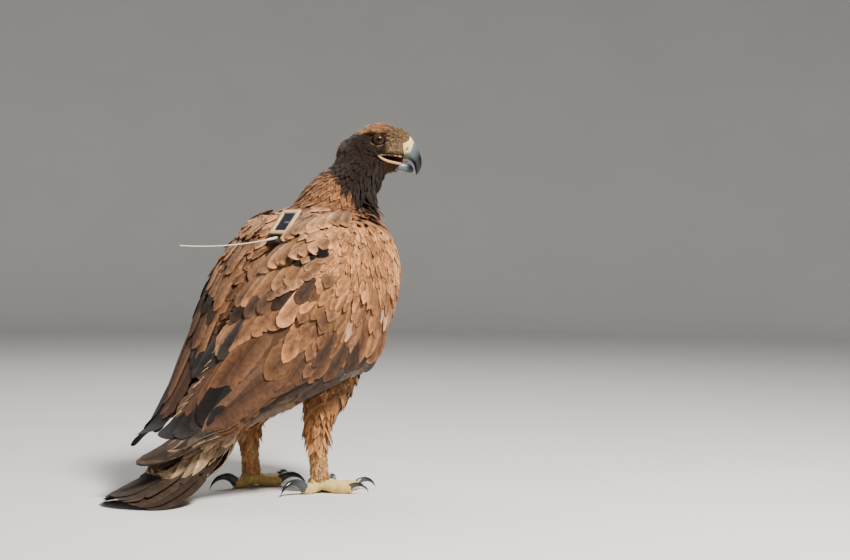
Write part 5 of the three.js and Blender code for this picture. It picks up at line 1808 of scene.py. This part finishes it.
    def build(self, skin: Guide, arm: Guide, rng: np.random.Generator) -> list[bpy.types.Object]:
        """Makes the wing's pieces: quills, coverts, back feathers and small coverts."""
        def piece(name: str, tiers: Sequence[Tier]) -> bpy.types.Object:
            """One piece of several tiers, each with its own band of the bake map."""
            parts = []
            for k, tier in enumerate(tiers):
                part = tier.build(arm, self.side, rng, self.painted_shade)
                band = part.maps["OFBake"]
                band[:, 1] = np.clip(band[:, 1] + (k - (len(tiers) - 1) / 2) * 0.07, 0.001, 0.999)
                parts.append(part)
            return Surface.join(parts).build(f"{name}_{self.name}")

        small = coat(f"small_coverts_{self.name}", [
            Tract("lesser", FOLDED_FORM, (0.85, 3.4), self.turns(6, 126), (6.6, 5.8), self.lesser,
                  self.heading, self.pigment),
            Tract("middle", FOLDED_FORM, (3.0, 5.0), self.turns(4, 124), (12, 10), self.middle, self.heading,
                  self.pigment),
        ], skin, rng)
        back = self.back() + (self.shoulder() if self.side < 0 else [])
        return [piece("quills", self.quills()), piece("coverts", self.coverts()), piece("scapulars", back),
                small]


@dataclass
class Tail:
    """The tail: twelve feathers fanned over the floor, with coverts over and under their roots."""

    root: tuple[float, float] = (-136, 160)
    tip: tuple[float, float] = (-354, 16)
    arch: float = 0.75
    roof: float = 24
    half_width: float = 54
    pairs: int = 6
    layer: float = 2.4
    feather: Feather = field(default_factory=lambda: Feather(
        1, 1, Outline.BROAD, 0.0, 0.0, 0.1, 0.9, rows=44, columns=11, skew=0.8, notches=5, vary=0.03))
    width: float = 46
    under: Feather = field(default_factory=lambda: Feather(
        84.0, 20.0, Outline.LANCE, 2.0, 10.0, 0.3, 0.5, rows=11, columns=5, curl=3.0, vary=0.25, skew=0.3))
    over: Feather = field(default_factory=lambda: Feather(
        74.0, 26.0, Outline.ROUND, 2.0, 9.0, 0.25, 0.6, rows=10, columns=7, curl=1.0, vary=0.15, skew=0.6))

    def lines(self) -> tuple[Array, Array]:
        """The tail feathers' middle lines and normals.

        Going from root to tip by k, a line falls by k times one and the arch, less the arch times the square
        of k, and drops further by the roof times the square of the pair's place near the root.
        """
        k = np.linspace(0, 1, 9)[None, :]
        pair = np.repeat(np.arange(self.pairs), 2)[:, None].astype(float)
        side = np.tile([1.0, -1.0], self.pairs)[:, None]
        t = pair / (self.pairs - 1)
        forward = (self.root[0] - 14 * t) * (1 - k) + (self.tip[0] + 22 * t * t) * k
        fall = k * (1 + self.arch) - k * k * self.arch
        up = self.root[1] + (self.tip[1] - self.root[1]) * fall
        up = up - self.layer * pair - self.roof * t * t * (1 - k)
        up = up + np.where(pair == 0, 1.2 * side, 0)
        spread = t * (0.42 + 0.44 * ease(1.3 * k)) + 0.03
        path = BIRD.place(forward + 0 * up, side * self.half_width * spread, up)
        lean = np.radians((34 - 22 * k) * t) * side
        slope = np.radians(42 - 24 * k) + 0 * t
        return path, unit(BIRD.way(-np.sin(slope), np.sin(lean), np.cos(slope)))

    def build(self, guide: Guide, rng: np.random.Generator) -> list[bpy.types.Object]:
        """Makes the tail's quills and its coverts."""
        path, normals = self.lines()
        count = len(path)
        spots = 0.04 + 0.92 * np.stack([(np.arange(count) + 0.5) / count, np.full(count, 0.5)], axis=1)
        pigment = np.tile(linear(50, 37, 27), (count, 1)) * (1 + 0.2 * rng.uniform(-1, 1, (count, 1)))
        kind = Feather(**self.feather.__dict__)
        kind.length = 262 / self.width
        quills = make_vanes(kind, path, normals, Plan(path[:, 0], spots, np.full(count, self.width), pigment),
                            rng)
        under = Tract("under_tail", TAIL_FORM, (0.0, 3.6), around(-118, 118), (14, 9), self.under,
                      steady(BIRD.way(-0.84, 0, -0.54)), lambda p: np.tile(Markings.under_tail, (len(p), 1)),
                      5)
        over = Tract("over_tail", TAIL_FORM, (0.0, 2.2), around(126, 234), (20, 16), self.over,
                     steady(BIRD.way(-0.84, 0, -0.54)), lambda p: np.tile(linear(70, 48, 34), (len(p), 1)), 5)
        coverts = Surface.join([under.build(guide, rng), over.build(guide, rng)])
        return [quills.build("tail_quills"), coverts.build("tail_coverts")]


def lined(grid: Array) -> Surface:
    """A tube with a map across and along it and a white pigment."""
    made = Surface.tube(grid)
    rows, columns = grid.shape[:2]
    v = np.repeat(np.linspace(0, 1, rows), columns)
    u = np.tile(np.linspace(0, 1, columns), rows)
    extra = np.array([[0.5, 0.0], [0.5, 1.0]])
    made.maps["Grain"] = np.vstack([np.stack([u, v], axis=1), extra])
    made.colours["pigment"] = np.ones((len(made.points), 3))
    return made


@dataclass
class Bill:
    """The cere, the hooked upper bill, the lower bill, the mouth's yellow rims and the tongue."""

    cere: tuple = (
        (38, 24.5, 36, -19.4, 20.5), (42, 22.5, 38, -20.2, 17.8), (49, 18.5, 43, -21, 16.2),
        (55.5, 13, 48.5, -21.8, 14.4), (60.5, 6, 52.5, -22.6, 12.8),
    )
    upper: tuple = (
        (52, 14.6, 45, -20.8, 13.4), (58.5, 8, 50, -21.6, 12.5), (64.3, 0.5, 54, -23, 11.3),
        (69.4, -8, 58, -25.6, 9.4),
        (72.8, -17, 61.6, -28.6, 7.3), (74.3, -26, 64, -33.5, 5.2), (73.5, -34.5, 65.4, -38.8, 3.5),
        (70.8, -41.2, 66.6, -43.2, 1.8), (67.6, -45.4, 66.3, -45.9, 0.6),
    )
    lower: tuple = (
        (34, -27.9, 34, -42, 13.6), (46, -27.4, 44, -42.2, 11.2), (53.5, -28.4, 51.5, -43, 8.8),
        (58.8, -31.2, 57, -43.4, 5.8), (61.8, -35.5, 60.6, -42.9, 2.6), (62.4, -38, 61.8, -41.6, 0.8),
    )
    nostril: tuple[float, float] = (49.8, -6.8)
    grey_below: float = -9.5

    def cere_surface(self) -> Surface:
        """The cere, with a slanting oval nostril pressed in on each side by a bell curve of its distance and
        painted near black as shade.
        """
        form = Loft.between_edges(self.cere, HEAD, 2.1)
        s, turn = form.grid(60, 96)
        grid = form.point(s, turn)
        ahead, aside, up = head_local(grid.reshape(-1, 3))
        off = ((ahead - self.nostril[0]) - 0.55 * (up - self.nostril[1])) ** 2 / 1.5**2
        off = off + (up - self.nostril[1]) ** 2 / 2.8**2
        dent = np.where(np.abs(aside) > 5, np.exp(-off * 1.1), 0.0)
        middle = form.station(s)[0].reshape(-1, 3)
        inward = unit(middle - grid.reshape(-1, 3))
        wave = 0.15 * np.sin(ahead * 2.1) * ease((up + 22) / 10)
        made = lined((grid.reshape(-1, 3) + inward * (MM * (2.6 * dent + wave))[:, None]).reshape(grid.shape))
        # Painted shade: the nostril's dent is painted near black, standing in for the dark inside of its
        # opening.
        dark = np.clip(dent * 1.6, 0, 1)[:, None]
        grey = ease((self.grey_below - up + 0.25 * (ahead - 50)) / 5)[:, None]
        paint = 1 - grey + np.array([0.17, 0.26, 0.46]) * grey
        made.colours["pigment"][: len(paint)] = paint * (1 - dark) + dark * 0.03
        return made

    def horn(self, rows: Sequence[Sequence[float]], squareness: float, ridge: float = 0.0) -> Surface:
        """A mandible: a closed form on its rows, keeled along its upper edge by a share of its height."""
        form = Loft.between_edges(rows, HEAD, squareness)
        s, turn = form.grid(90, 64)
        keel = ridge * MM * np.exp(-((math.pi - np.abs(turn)) / 0.35) ** 2)
        return lined(form.point(s, turn, keel))

    def gape(self, side: int) -> Surface:
        """The soft rim of the mouth on one side: two bars that meet at its corner."""
        widths = np.array([(6, 33.6), (20, 30.4), (30, 25.6), (40, 19.4)])
        parts = []
        for line, sizes in ((((4.5, -19.6), (15, -17.9), (27, -17.8), (42, -19.2)), (1.1, 1.3, 1.2, 0.9)),
                            (((4.5, -19.6), (12, -24.6), (23, -28.3), (42, -30.6)), (1.2, 1.9, 2.1, 1.7))):
            points = np.array(line, dtype=float)
            aside = side * np.interp(points[:, 0], widths[:, 0], widths[:, 1])
            path = HEAD.place(points[:, 0], aside, points[:, 1])
            across = np.tile(HEAD.way(0, 0, 1), (len(path), 1))
            radii = MM * np.array(sizes)
            form = Loft.along(path, across, radii, radii * 1.1)
            parts.append(lined(form.point(*form.grid(40, 16))))
        return Surface.join(parts)

    def tongue(self) -> Surface:
        """A thin pointed tongue, hollowed along its middle."""
        rows = ((12, -23.4, 12, -24.4, 4), (26, -23.8, 26, -25.8, 7), (40, -24.4, 40, -26.8, 6.4),
                (50, -24.8, 50, -26.8, 4), (54, -25.3, 54, -26.4, 1.5))
        return self.horn(rows, 2.0)

    def build(self) -> bpy.types.Object:
        """Makes and dresses the bill's pieces, and returns the cere."""
        yellow = HideFinish("cere_skin", (228, 208, 142), (188, 158, 92), 700.0, 0.0002, 0.42).material()
        rim = HideFinish("gape_skin", (196, 160, 104), (150, 112, 66), 600.0, 0.0002, 0.45).material()
        dark = HornFinish("bill_horn", (90, 98, 104), (14, 15, 17), 0.34, dark_from=0.55).material()
        pink = HideFinish("tongue_skin", (140, 76, 68), (96, 46, 42), 900.0, 0.0002, 0.35).material()
        cere = self.cere_surface().build("cere_skin")
        dress(cere, yellow, "cere_skin", ["cere"])
        dress(self.horn(self.upper, 2.1, 0.6).build("upper_bill"), dark, "bill_horn", ["bill_upper"])
        dress(self.horn(self.lower, 2.2).build("lower_bill"), dark, "bill_horn", ["bill_lower"])
        dress(self.tongue().build("tongue_blade"), pink, "tongue_skin", ["tongue"])
        for name, side in SIDES.items():
            dress(self.gape(side).build(f"gape_rim_{name}"), rim, "cere_skin", [f"gape_{name}"])
        return cere


@dataclass
class Eye:
    """An eye with its lids."""

    name: str
    look_ahead: float = 5.0
    opening: tuple[float, float] = (10.4, 8.7)
    lid: float = 0.9
    stand_out: float = 2.0

    def ball(self) -> Surface:
        """A ball about the eye's axis, with a cornea that swells it by a bell curve of the angle."""
        side = SIDES[self.name]
        centre = HEAD.place(EYE_PLACE[0], side * (EYE_PLACE[1] + self.stand_out), EYE_PLACE[2])
        turn = math.radians(self.look_ahead)
        axis = HEAD.way(math.sin(turn), side * math.cos(turn), 0.02)
        first = unit(np.cross(axis, HEAD.way(0, 0, 1)))
        second = np.cross(axis, first)
        polar = np.linspace(0.0005, math.pi - 0.0005, 72)[:, None]
        round_way = np.linspace(0, 2 * math.pi, 64, endpoint=False)[None, :]
        radius = MM * (EYE_RADIUS + 0.2 + 0.8 * np.exp(-((polar / 0.62) ** 4)))
        grid = centre + (radius * np.cos(polar))[..., None] * axis + (radius * np.sin(polar))[..., None] * (
            np.cos(round_way)[..., None] * first + np.sin(round_way)[..., None] * second
        )
        made = lined(grid)
        u = np.tile(np.linspace(0, 1, 64), 72)
        v = np.repeat(polar.ravel() / math.pi, 64)
        made.maps = {"Ring": np.vstack([np.stack([u, v], axis=1), [[0.5, 0.0], [0.5, 1.0]]])}
        return made

    def lids(self, skin: Guide) -> Surface:
        """The lids: a closed ring of skin that rises from the ball over a rim and slopes out to the face.

        It runs straight from the opening's outline on the ball to one larger by three tenths on the skin,
        while its height follows a smooth step of the share across, with the rim added as a half wave. The
        underside lies lower.
        """
        side = SIDES[self.name]
        u = np.linspace(0, 2 * math.pi, 73)
        t = np.concatenate([np.linspace(0, 1, 14), np.linspace(1, 0, 8)])[None, :]
        below = np.concatenate([np.zeros(14), np.full(8, 2.0)])[None, :]
        c, q = np.cos(u), np.sin(u)
        ahead = self.opening[0] * c * (1 + 0.1 * c**4)
        up = self.opening[1] * q * (1 - 0.1 * np.clip(q, 0, 1))
        start = self.stand_out + np.sqrt(np.maximum(EYE_RADIUS**2 - ahead**2 - up**2, 4.0)) - 0.3
        outer = HEAD.place(EYE_PLACE[0] + 1.3 * ahead, side * (EYE_PLACE[1] + 10.0), EYE_PLACE[2] + 1.3 * up)
        end = head_local(skin.settle(outer))
        share = ease(t / 0.5)
        aside = start[:, None] * (1 - share) + (side * end[1] - EYE_PLACE[1])[:, None] * share
        aside = aside + self.lid * np.sin(math.pi * np.clip(t / 0.3, 0, 1)) - below
        grid = HEAD.place(
            (EYE_PLACE[0] + ahead)[:, None] * (1 - t) + end[0][:, None] * t,
            side * (EYE_PLACE[1] + aside),
            (EYE_PLACE[2] + up)[:, None] * (1 - t) + end[2][:, None] * t,
        )
        made = Surface.tube(grid, ends=False)
        pale = np.exp(-(((t - 0.15) / 0.09) ** 2)) + 0 * aside
        made.colours["pigment"] = np.tile((0.3 + 1.3 * pale).reshape(-1, 1), (1, 3))
        return made

    def build(self, skin: Guide) -> None:
        """Makes and dresses the eye and its lids."""
        dress(self.ball().build(f"eyeball_{self.name}"), EyeFinish().material(), "eye", [f"eye_{self.name}"])
        pale = HideFinish("lid_skin", (122, 96, 66), (72, 52, 36), 900.0, 0.0002, 0.5).material()
        made = self.lids(skin).build(f"lids_{self.name}")
        weld(made)
        dress(made, pale, "cere_skin")


@dataclass
class Foot:
    """A foot: four toes with plates above and pads below, and their claws."""

    name: str
    toes: tuple = (
        # name, degrees outward, length, radius and claw length
        ("middle", 6, 66, 8.6, 36), ("inner", -38, 46, 8.8, 44), ("outer", 52, 50, 7.8, 31),
        ("hind", 172, 34, 8.6, 50),
    )
    turned: float = 6
    toe_up: float = 9

    def way(self, out: float) -> tuple[float, float]:
        """A toe's direction as shares forward and left."""
        turn = math.radians(out + self.turned) * SIDES[self.name]
        return math.cos(turn), math.sin(turn)

    def toe(self, out: float, length: float, radius: float) -> Surface:
        """A toe.

        Its radius swells at two joints. Above it rises in steps, one for each plate, by a saw of the way
        along, and below it bulges in pads. What would sink under the floor lies flat on it.
        """
        side = SIDES[self.name]
        forward, left = self.way(out)
        rows, columns = 110, 40
        t = np.linspace(-0.25, 1, rows)
        along = np.clip(t, 0, 1)
        lift = (self.toe_up + 5) * (1 - ease(along * 1.6)) + (radius - 0.7) * ease(along * 1.6)
        path = BIRD.place(LEG_FORWARD[self.name] + 3 + forward * length * t,
                          side * LEG_SPREAD + left * length * t, lift)
        size = radius * np.interp(along, [0, 0.34, 0.5, 0.66, 0.84, 1], [1.1, 0.97, 0.9, 1.02, 0.94, 0.74])
        across = np.tile(BIRD.way(-left, forward, 0), (rows, 1))
        form = Loft.along(path, across, MM * size, MM * size, 2.1)
        s, turn = form.grid(rows, columns)
        plates = 13 * length / 66
        saw = np.mod(along * plates, 1.0)[:, None]
        above = ease((np.abs(turn) - 1.7) / 0.5)
        pads = np.abs(np.sin(along * 3.3 * math.pi))[:, None] * ease((1.3 - np.abs(turn)) / 0.6)
        cobble = np.sin(turn * 11) * np.sin(along * plates * 6.2)[:, None] * (1 - above) * 0.16
        height = MM * (above * (0.75 * saw**0.6 - 0.2) + 0.7 * pads + cobble)
        grid = form.point(s, turn, height)
        grid[..., 2] = np.maximum(grid[..., 2], 0.0)
        made = lined(grid)
        seam = above * (1 - ease(np.minimum(saw, 1 - saw) / 0.12))
        shade = (1 - 0.4 * seam - 0.12 * (1 - above))[..., None] * np.array([1.0, 0.98, 0.94])
        made.colours["pigment"][: rows * columns] = shade.reshape(-1, 3)
        return made

    def claw(self, out: float, length: float, claw: float) -> Surface:
        """A claw: a cone carried along an arc that rises from the toe's end and bends down to the floor."""
        side = SIDES[self.name]
        forward, left = self.way(out)
        rows, columns = 60, 28
        t = np.linspace(0, 1, rows)
        angle = math.radians(48) - math.radians(122) * t
        step = claw * 1.22 / (rows - 1)
        run = np.concatenate([[0], np.cumsum(np.cos(angle[:-1]) * step)]) + length - 3
        rise = np.concatenate([[0], np.cumsum(np.sin(angle[:-1]) * step)]) + self.toe_up
        rise = rise - np.minimum(rise[-1] - 0.5, 0) * t
        path = BIRD.place(LEG_FORWARD[self.name] + 3 + forward * run, side * LEG_SPREAD + left * run, rise)
        radius = MM * np.maximum(claw * 0.148 * (1 - t**1.35), 0.25)
        across = np.tile(BIRD.way(-left, forward, 0), (rows, 1))
        form = Loft.along(path, across, radius * 0.9, radius, 2.0)
        grid = form.point(*form.grid(rows, columns))
        grid[..., 2] = np.maximum(grid[..., 2], 0.0)
        return lined(grid)

    def build(self) -> None:
        """Makes and dresses the toes and claws."""
        hide = HideFinish("foot_skin", (232, 204, 128), (178, 140, 74), 900.0, 0.00025, 0.5).material()
        horn = HornFinish("claw_horn", (66, 70, 76), (14, 15, 17), 0.22).material()
        toes = Surface.join([self.toe(out, length, radius) for _, out, length, radius, _ in self.toes])
        dress(toes.build(f"toes_{self.name}"), hide, "foot_skin", [f"foot_{self.name}"])
        for label, out, length, _, claw in self.toes:
            made = self.claw(out, length, claw).build(f"talon_{label}_{self.name}")
            dress(made, horn, "claw_horn", [f"claw_{label}_{self.name}"])


@dataclass
class Tag:
    """The tag on the back: case, rim, panel, aerial and the straps of its harness."""

    sizes: TagSizes = TAG
    aerial_length: float = 184
    aerial_fall: tuple[float, float] = (-34, 22)
    strap_width: float = 10
    strap_thick: float = 1.4
    straps: tuple = (("front", (1.25, 163), (1.05, 122)), ("rear", (2.45, 163), (3.1, 124)))

    def slab(self, wide: float, long: float, middle: float, low: float, high: float,
             corner: float) -> Surface:
        """A slab with round edges.

        Going from its underside to its face, each ring is a rectangle with round corners, drawn in near both
        faces by the cosine of a quarter turn.
        """
        lean = np.linspace(-math.pi / 2, math.pi / 2, 18)
        inset = corner * (1 - np.cos(lean))
        level = np.where(lean < 0, low + corner * (1 + np.sin(lean)), high - corner * (1 - np.sin(lean)))
        around_way = np.linspace(0, 2 * math.pi, 96, endpoint=False)[None, :]
        c, q = np.cos(around_way), np.sin(around_way)
        half_wide, half_long = (wide / 2 - inset)[:, None], (long / 2 - inset)[:, None]
        n = 9.0
        reach = (np.abs(c / half_wide) ** n + np.abs(q / half_long) ** n) ** (-1 / n)
        grid = TAG_AXES.place(middle + q * reach, c * reach, level[:, None] + 0 * c)
        return lined(grid)

    def frame_ring(self) -> Surface:
        """The rim: a rounded bar carried round a rectangle with mitred corners."""
        t = self.sizes
        bar = t.rim_bar / 2
        w = np.linspace(0, 2 * math.pi, 20, endpoint=False) + math.pi / 4
        square = (np.abs(np.cos(w)) ** 6 + np.abs(np.sin(w)) ** 6) ** (-1 / 6)
        off, rise = bar * np.cos(w) * square, t.rim_thick / 2 * np.sin(w) * square
        signs = np.array([(1, 1), (-1, 1), (-1, -1), (1, -1), (1, 1)], dtype=float)
        steps = []
        for k in range(4):
            share = np.linspace(0, 1, 9)[:, None]
            steps.append(signs[k] * (1 - share) + signs[k + 1] * share)
        place = np.concatenate(steps)
        aside = place[:, :1] * (t.rim_wide / 2 - bar + off[None, :])
        along = place[:, 1:] * (t.rim_long / 2 - bar + off[None, :])
        up = t.rim_low + t.rim_thick / 2 + rise[None, :] + 0 * aside
        made = Surface.tube(TAG_AXES.place(t.rim_middle + along, aside, up), ends=False)
        made.colours["pigment"] = np.ones((len(made.points), 3))
        return made

    def aerial(self) -> Surface:
        """The aerial: a rod whose fall is a line and a square of the way along, thick in its sleeve."""
        t = np.linspace(0, 1, 90)
        start = (self.sizes.rim_middle + self.sizes.rim_long / 2 + 5, 0.0, self.sizes.thick / 2 - 1)
        path = TAG_AXES.place(*start) + MM * BIRD.way(
            -self.aerial_length * t, 0, self.aerial_fall[0] * t + self.aerial_fall[1] * t * t)
        radius = MM * (2.1 * (1 - ease((t - 0.07) * 16)) + 0.8 * ease((t - 0.07) * 16))
        across = np.tile([1.0, 0.0, 0.0], (len(t), 1))
        return Loft.along(path, across, radius, radius).shell(180, 16)

    def strap(self, side: int, first: tuple[float, float], last: tuple[float, float]) -> Surface:
        """A ribbon over the back: a flat rounded section carried between two places of the body's form."""
        t = np.linspace(0, 1, 40)
        s = first[0] + (last[0] - first[0]) * t
        turn = side * np.radians(first[1] + (last[1] - first[1]) * t)
        path = TORSO_FORM.point(s, turn, MM * (0.3 + self.strap_thick / 2))
        across = unit(TORSO_FORM.point(s - 0.03, turn) - TORSO_FORM.point(s + 0.03, turn))
        half = np.full(len(t), MM * self.strap_width / 2)
        form = Loft.along(path, across, half, np.full(len(t), MM * self.strap_thick / 2), 5.0)
        return lined(form.point(*form.grid(80, 20)))

    def build(self) -> None:
        """Makes and dresses the tag's pieces."""
        t = self.sizes
        case = self.slab(t.wide, t.long, 0, -t.thick / 2, t.thick / 2, 3.0).build("tag_box")
        black = PlasticFinish("tag_case", (22, 22, 24)).material()
        dress(case, black, "tag_case", ["tag_case"])
        tan = PlasticFinish("tag_rim", (206, 176, 128), (128, 98, 62), 0.45, 600.0, 0.0001, 0.5).material()
        ring = self.frame_ring().build("tag_frame")
        weld(ring)
        dress(ring, tan, "tag_rim", ["tag_rim"])
        inner_wide = t.rim_wide - 2 * t.rim_bar - 2 * t.gap
        inner_long = t.rim_long - 2 * t.rim_bar - 2 * t.gap
        panel = self.slab(inner_wide, inner_long, t.rim_middle, t.rim_low, t.rim_low + t.panel_thick, 0.5)
        dress(panel.build("tag_cells"), CellFinish().material(), "tag_panel", ["tag_panel"])
        wire = PlasticFinish("tag_wire", (214, 208, 190), (150, 140, 120), 0.2, 900.0, 0.00005, 0.4,
                             0.2).material()
        dress(self.aerial().build("tag_aerial"), wire, "tag_wire", ["tag_antenna"])
        weave = WovenFinish().material()
        for name, side in SIDES.items():
            for end, first, last in self.straps:
                made = self.strap(side, first, last).build(f"tag_ribbon_{end}_{name}")
                dress(made, weave, "tag_strap", [f"tag_strap_{end}_{name}"])


@dataclass
class Studio:
    """The floor, the light and the camera at the photograph's place."""

    azimuth: float = 230.0
    elevation: float = 7.38
    distance: float = 3.136
    focal_pixels: float = 2007.0
    frame_width: float = 850.0
    frame_height: float = 560.0
    origin_pixel: tuple[float, float] = (300.0, 488.0)
    sensor: float = 36.0

    def towards(self, azimuth: float, elevation: float) -> Vector:
        """The direction out from the bird at an azimuth and an elevation in degrees."""
        a, e = math.radians(azimuth), math.radians(elevation)
        return Vector((math.sin(a) * math.cos(e), -math.cos(a) * math.cos(e), math.sin(e)))

    def camera(self) -> None:
        """Sets the camera so that the bird's origin falls on its pixel."""
        back = self.towards(self.azimuth, self.elevation)
        aside = math.atan((self.origin_pixel[0] - self.frame_width / 2) / self.focal_pixels)
        down = math.atan((self.origin_pixel[1] - self.frame_height / 2) / self.focal_pixels)
        facing = (-back).to_track_quat("-Z", "Y").to_matrix()
        turn = Matrix.Rotation(aside, 3, "Y") @ Matrix.Rotation(down, 3, "X")
        data = bpy.data.cameras.new("camera")
        data.sensor_width = self.sensor
        data.lens = self.focal_pixels / self.frame_width * self.sensor
        data.clip_end = 60.0
        made = bpy.data.objects.new("camera", data)
        made.location = Vector(BIRD.origin) + back * self.distance
        made.rotation_mode = "QUATERNION"
        made.rotation_quaternion = (facing @ turn).to_quaternion()
        bpy.context.scene.collection.objects.link(made)
        bpy.context.scene.camera = made

    def floor(self) -> None:
        """A wide pale floor that curves up far behind, as the height is a smooth step of the distance."""
        size = np.linspace(-9, 9, 61)
        x, y = np.meshgrid(size, size, indexing="ij")
        z = 4.0 * ease((np.hypot(x, y) - 5.0) / 4.0)
        i, j = np.meshgrid(np.arange(60), np.arange(60), indexing="ij")
        corner = i * 61 + j
        faces = np.stack([corner, corner + 61, corner + 62, corner + 1], -1).reshape(-1, 4)
        made = Surface(np.stack([x, y, z], -1).reshape(-1, 3), faces).build("floor")
        g = Graph("floor")
        cloud = g.noise(g.object_place(), 3.0, 4.0)
        colour = g.blend(cloud, (0.62, 0.61, 0.59), (0.68, 0.67, 0.65))
        made.data.materials.append(g.finish(Base_Color=colour, Roughness=0.9))

    def lamp(self, name: str, azimuth: float, elevation: float, away: float, size: float, power: float,
             colour: tuple[float, float, float]) -> None:
        """A square soft light that faces the bird's middle."""
        back = self.towards(azimuth, elevation)
        data = bpy.data.lights.new(name, "AREA")
        data.size = size
        data.energy = power
        data.color = colour
        made = bpy.data.objects.new(name, data)
        made.location = Vector(BIRD.place(0, 0, 280)) + back * away
        made.rotation_mode = "QUATERNION"
        made.rotation_quaternion = (-back).to_track_quat("-Z", "Y")
        bpy.context.scene.collection.objects.link(made)

    def build(self) -> None:
        """Makes the floor, the lamps, the sky and the camera."""
        self.floor()
        self.lamp("key", 268, 48, 2.6, 0.55, 195, (1.0, 0.96, 0.9))
        self.lamp("fill", 195, 18, 3.0, 2.4, 9, (0.96, 0.97, 1.0))
        self.lamp("rim", 60, 50, 3.0, 1.6, 45, (1.0, 0.98, 0.95))
        world = bpy.data.worlds.new("sky")
        world.use_nodes = True
        world.node_tree.nodes["Background"].inputs["Color"].default_value = (0.88, 0.9, 0.92, 1.0)
        world.node_tree.nodes["Background"].inputs["Strength"].default_value = 0.22
        bpy.context.scene.world = world
        self.camera()


def main() -> None:
    """Builds the bird, its tag and the studio in order."""
    logging.basicConfig(level=logging.INFO, format="%(message)s")
    rng = np.random.default_rng(SEED)
    skin = Skin().build()
    guide = Guide(skin)
    arm_object = FOLDED_FORM.shell(160, 120, MM * 6.5).build("arm_guide")
    arm = Guide(arm_object)
    flesh = ["torso", "neck", "head", "thigh_left", "thigh_right", "shank_left", "shank_right"]
    face = PlumageFinish("face_plumage", barbs=9.0, relief=0.0002, edge=(1.6, 1.55, 1.5),
                         centre=(0.4, 0.36, 0.34), centre_share=0.7, spread=1.1)
    fine = PlumageFinish("neck_plumage", barbs=24.0, edge=(1.9, 1.75, 1.6), centre=(0.4, 0.36, 0.34))
    body = PlumageFinish("body_plumage", barbs=34.0)
    leg = PlumageFinish("leg_plumage", barbs=18.0, centre_share=0.4, edge=(1.35, 1.32, 1.28), painted_glints=0.08)
    wing = PlumageFinish("wing_plumage", barbs=70.0, edge=(1.8, 1.7, 1.6), centre=(0.45, 0.41, 0.39),
                         spread=1.0)
    small = PlumageFinish("covert_plumage", barbs=40.0, edge=(1.5, 1.44, 1.38), centre=(0.5, 0.46, 0.44),
                          centre_share=0.6, spread=0.95, painted_glints=0.07)
    quill = PlumageFinish("quill_plumage", barbs=150.0, edge=(1.3, 1.26, 1.22), bars=7.0, edge_from=0.8,
                          shaft=0.3)
    tail = PlumageFinish("tail_plumage", barbs=160.0, edge=(1.25, 1.2, 1.16), bars=6.0, edge_from=0.85,
                         shaft=0.3)
    coats: list[tuple[list[bpy.types.Object], PlumageFinish, str]] = [
        (HeadCoat().build(guide, rng), fine, "neck_plumage"),
        (BodyCoat().build(guide, rng), body, "body_plumage"),
        ([LegCoat().build(name, guide, rng) for name in SIDES], leg, "leg_plumage"),
    ]
    for made, finish, slot in coats:
        material = finish.material()
        for piece in made:
            dress(piece, face.material() if piece.name == "head_feathers" else material, slot)
    covering, flight, scaly = wing.material(), quill.material(), small.material()
    # The far left wing is darkened to 0.74 of its colour as painted shade.
    for name, reach, painted_shade in (("right", 1.0, 1.0), ("left", 0.86, 0.74)):
        quills, coverts, scapulars, lesser = Wing(name, reach, painted_shade).build(guide, arm, rng)
        dress(quills, flight, "wing_plumage", [f"wing_{name}"])
        dress(coverts, covering, "wing_plumage")
        dress(scapulars, covering, "wing_plumage")
        dress(lesser, scaly, "wing_plumage")
    quills, coverts = Tail().build(guide, rng)
    dress(quills, tail.material(), "tail_plumage", ["tail"])
    dress(coverts, body.material(), "tail_plumage")
    dress(skin, SkinFinish().material(), "body_plumage", flesh)
    bpy.data.objects.remove(arm_object)
    cere = Guide(Bill().build())
    dress(HeadCoat().forehead(cere, rng), face.material(), "neck_plumage")
    for name in SIDES:
        Eye(name).build(guide)
        Foot(name).build()
    Tag().build()
    Studio().build()


if __name__ == "__main__":
    main()
